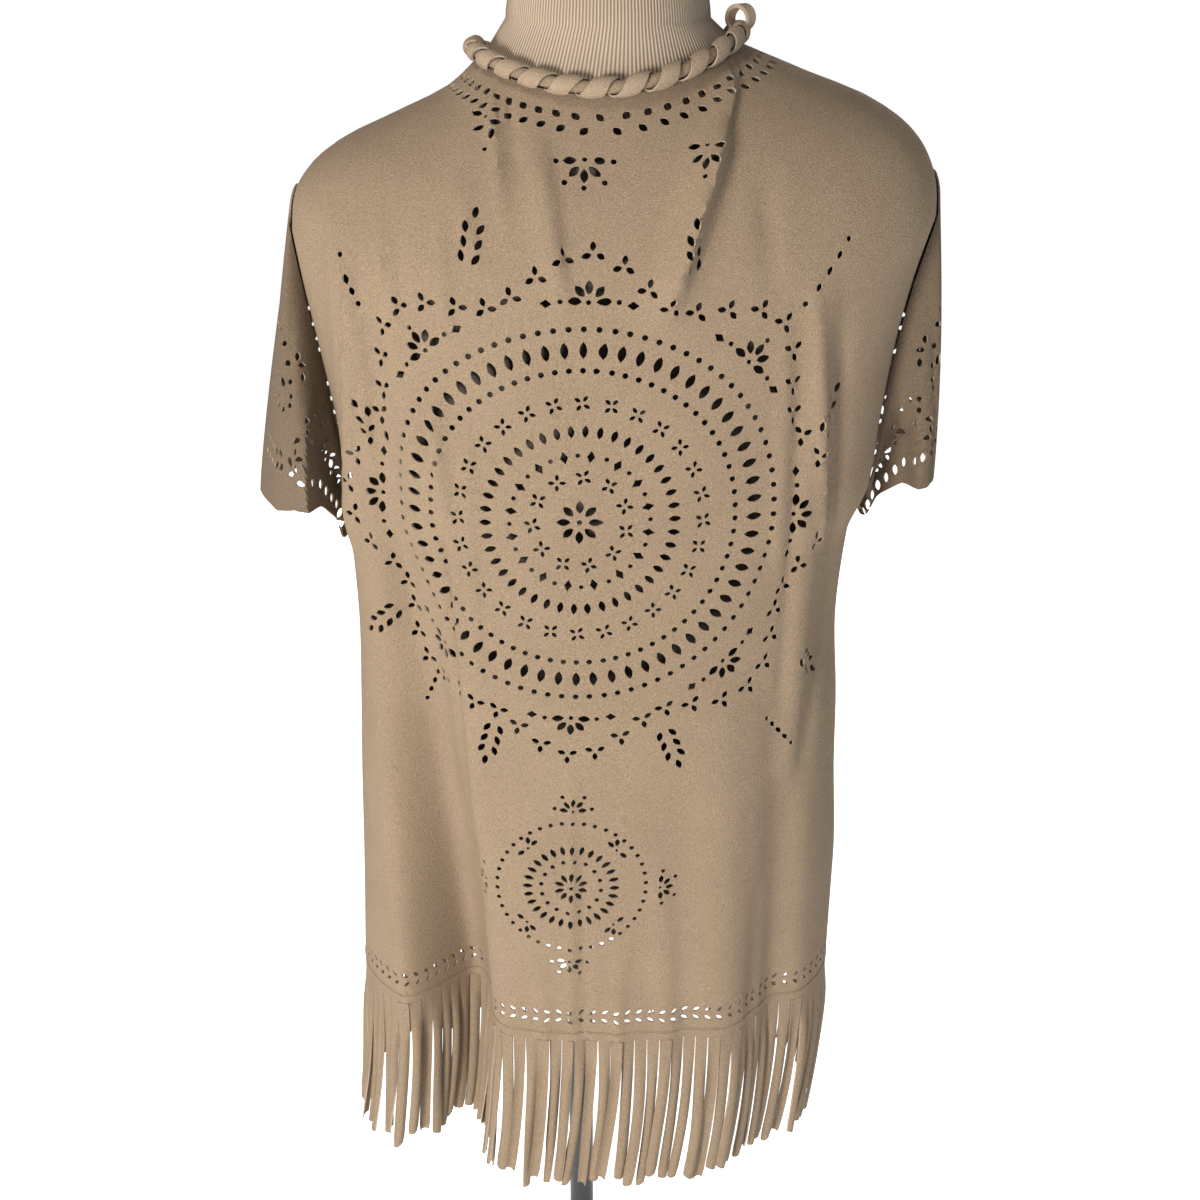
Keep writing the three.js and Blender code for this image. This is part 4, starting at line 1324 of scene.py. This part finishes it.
# %% Powder-coated steel
coat, shader, tree, place = new_finish("powder_coat", (0.018, 0.018, 0.02), 0.42)
orange_peel = noise(tree, place["Object"], 900, 2)
rub = noise(tree, place["Object"], 14, 3)
for entry, stops in (("Base Color", ((0.35, (0.014, 0.014, 0.016)), (0.75, (0.03, 0.03, 0.032)))),
                     ("Roughness", ((0.3, (0.36, 0.36, 0.36)), (0.7, (0.5, 0.5, 0.5))))):
    tree.links.new(ramp(tree, rub, stops), shader.inputs[entry])
bump(tree, shader, ((orange_peel, 0.15, 0.0002),))
print("finish:", coat.name)


# %% Turned pieces
def turned(name, node, profile, x, y, sides=96):
    turns = [2 * math.pi * i / sides for i in range(sides)]
    points = [(x + radius * math.cos(a) - garment_shift, y + radius * math.sin(a), z)
              for radius, z in profile for a in turns]
    obj = finish_mesh(name, points, skin(sides, len(profile)), (coat,), cusp=math.radians(40))
    declare(obj, node)
    print(name, "from", round(profile[0][1], 1), "to", round(profile[-1][1], 1), "mm")


def rounded(radius, low, high, soft_low, soft_high):
    """Profile of a disc with rounded lower and upper rims."""
    turns = [k * math.pi / 12 for k in range(7)]
    lower = [(radius - soft_low * (1 - math.sin(a)), low + soft_low * (1 - math.cos(a)))
             for a in turns]
    upper = [(radius - soft_high * (1 - math.cos(a)), high - soft_high * (1 - math.sin(a)))
             for a in turns]
    return lower + upper


cap_radius, cap_height, pole_radius, collar_radius, collar_height = 57, 12, 10, 17, 26
base_radius, base_height = 150, 14
pole_top = form_foot - collar_height - seam_gap
turned("neck_cap_turned", "neck_cap",
       rounded(cap_radius, neck_top + seam_gap, neck_top + cap_height, 0.8, 3),
       garment_shift + neck_middle, side_line)
turned("collar_turned", "pole_collar",
       rounded(collar_radius, pole_top, form_foot - seam_gap, 1.5, 0.5), 0, 0)
turned("pole_turned", "pole",
       rounded(pole_radius, base_height + seam_gap, pole_top - seam_gap, 0.3, 0.3), 0, 0)
turned("base_turned", "base", rounded(base_radius, 0, base_height, 1, 5), 0, 0, 160)

# %% [markdown]
# ## Light and floor
# The picture was lit by a warm light from the left and a cool window on the right, on a white
# ground. Area lights give soft edges. One more, high on the left, picks out the shoulders, and
# one lights the front, which the picture doesn't show.

# %% Floor
floor_finish, shader, _, _ = new_finish("floor", (0.9, 0.9, 0.9), 0.8)
dial(shader, Emission_Color=(1, 1, 1, 1), Emission_Strength=0.8)
floor_side, floor_near, floor_far, floor_z = 40000, -6000, 45000, -0.5
floor_points = [(x, y, floor_z) for x, y in ((-floor_side, floor_near), (floor_side, floor_near),
                                             (floor_side, floor_far), (-floor_side, floor_far))]
floor = finish_mesh("floor", floor_points, [(0, 1, 2, 3)], (floor_finish,), smooth=False)

# %% Lights
def area_light(name, place, aim, size, power, colour):
    data = bpy.data.lights.new(name, "AREA")
    data.shape = "RECTANGLE"
    data.size, data.size_y = size
    data.energy = power
    data.color = colour
    light = bpy.data.objects.new(name, data)
    light.location = place
    light.rotation_euler = (Vector(aim) - Vector(place)).to_track_quat("-Z", "Y").to_euler()
    bpy.context.collection.objects.link(light)


area_light("key", (-1.05, -1.8, 0.85), (0, 0, 0.75), (0.5, 0.5), 54, (1.0, 0.965, 0.92))
area_light("window", (1.6, -0.9, 1.1), (0, -0.05, 0.8), (0.5, 0.9), 6, (0.76, 0.88, 1.0))
area_light("lamp", (-0.6, -0.6, 2.3), (-0.1, 0, 1.0), (0.4, 0.4), 10, (1.0, 0.95, 0.87))
area_light("front", (0.5, 2.2, 1.5), (0, 0.1, 0.8), (1.2, 1.2), 26, (1.0, 0.97, 0.93))
world = bpy.data.worlds.new("room")
world.use_nodes = True
dial(world.node_tree.nodes["Background"], Color=(1.0, 1.0, 1.0, 1), Strength=0.25)
bpy.context.scene.world = world
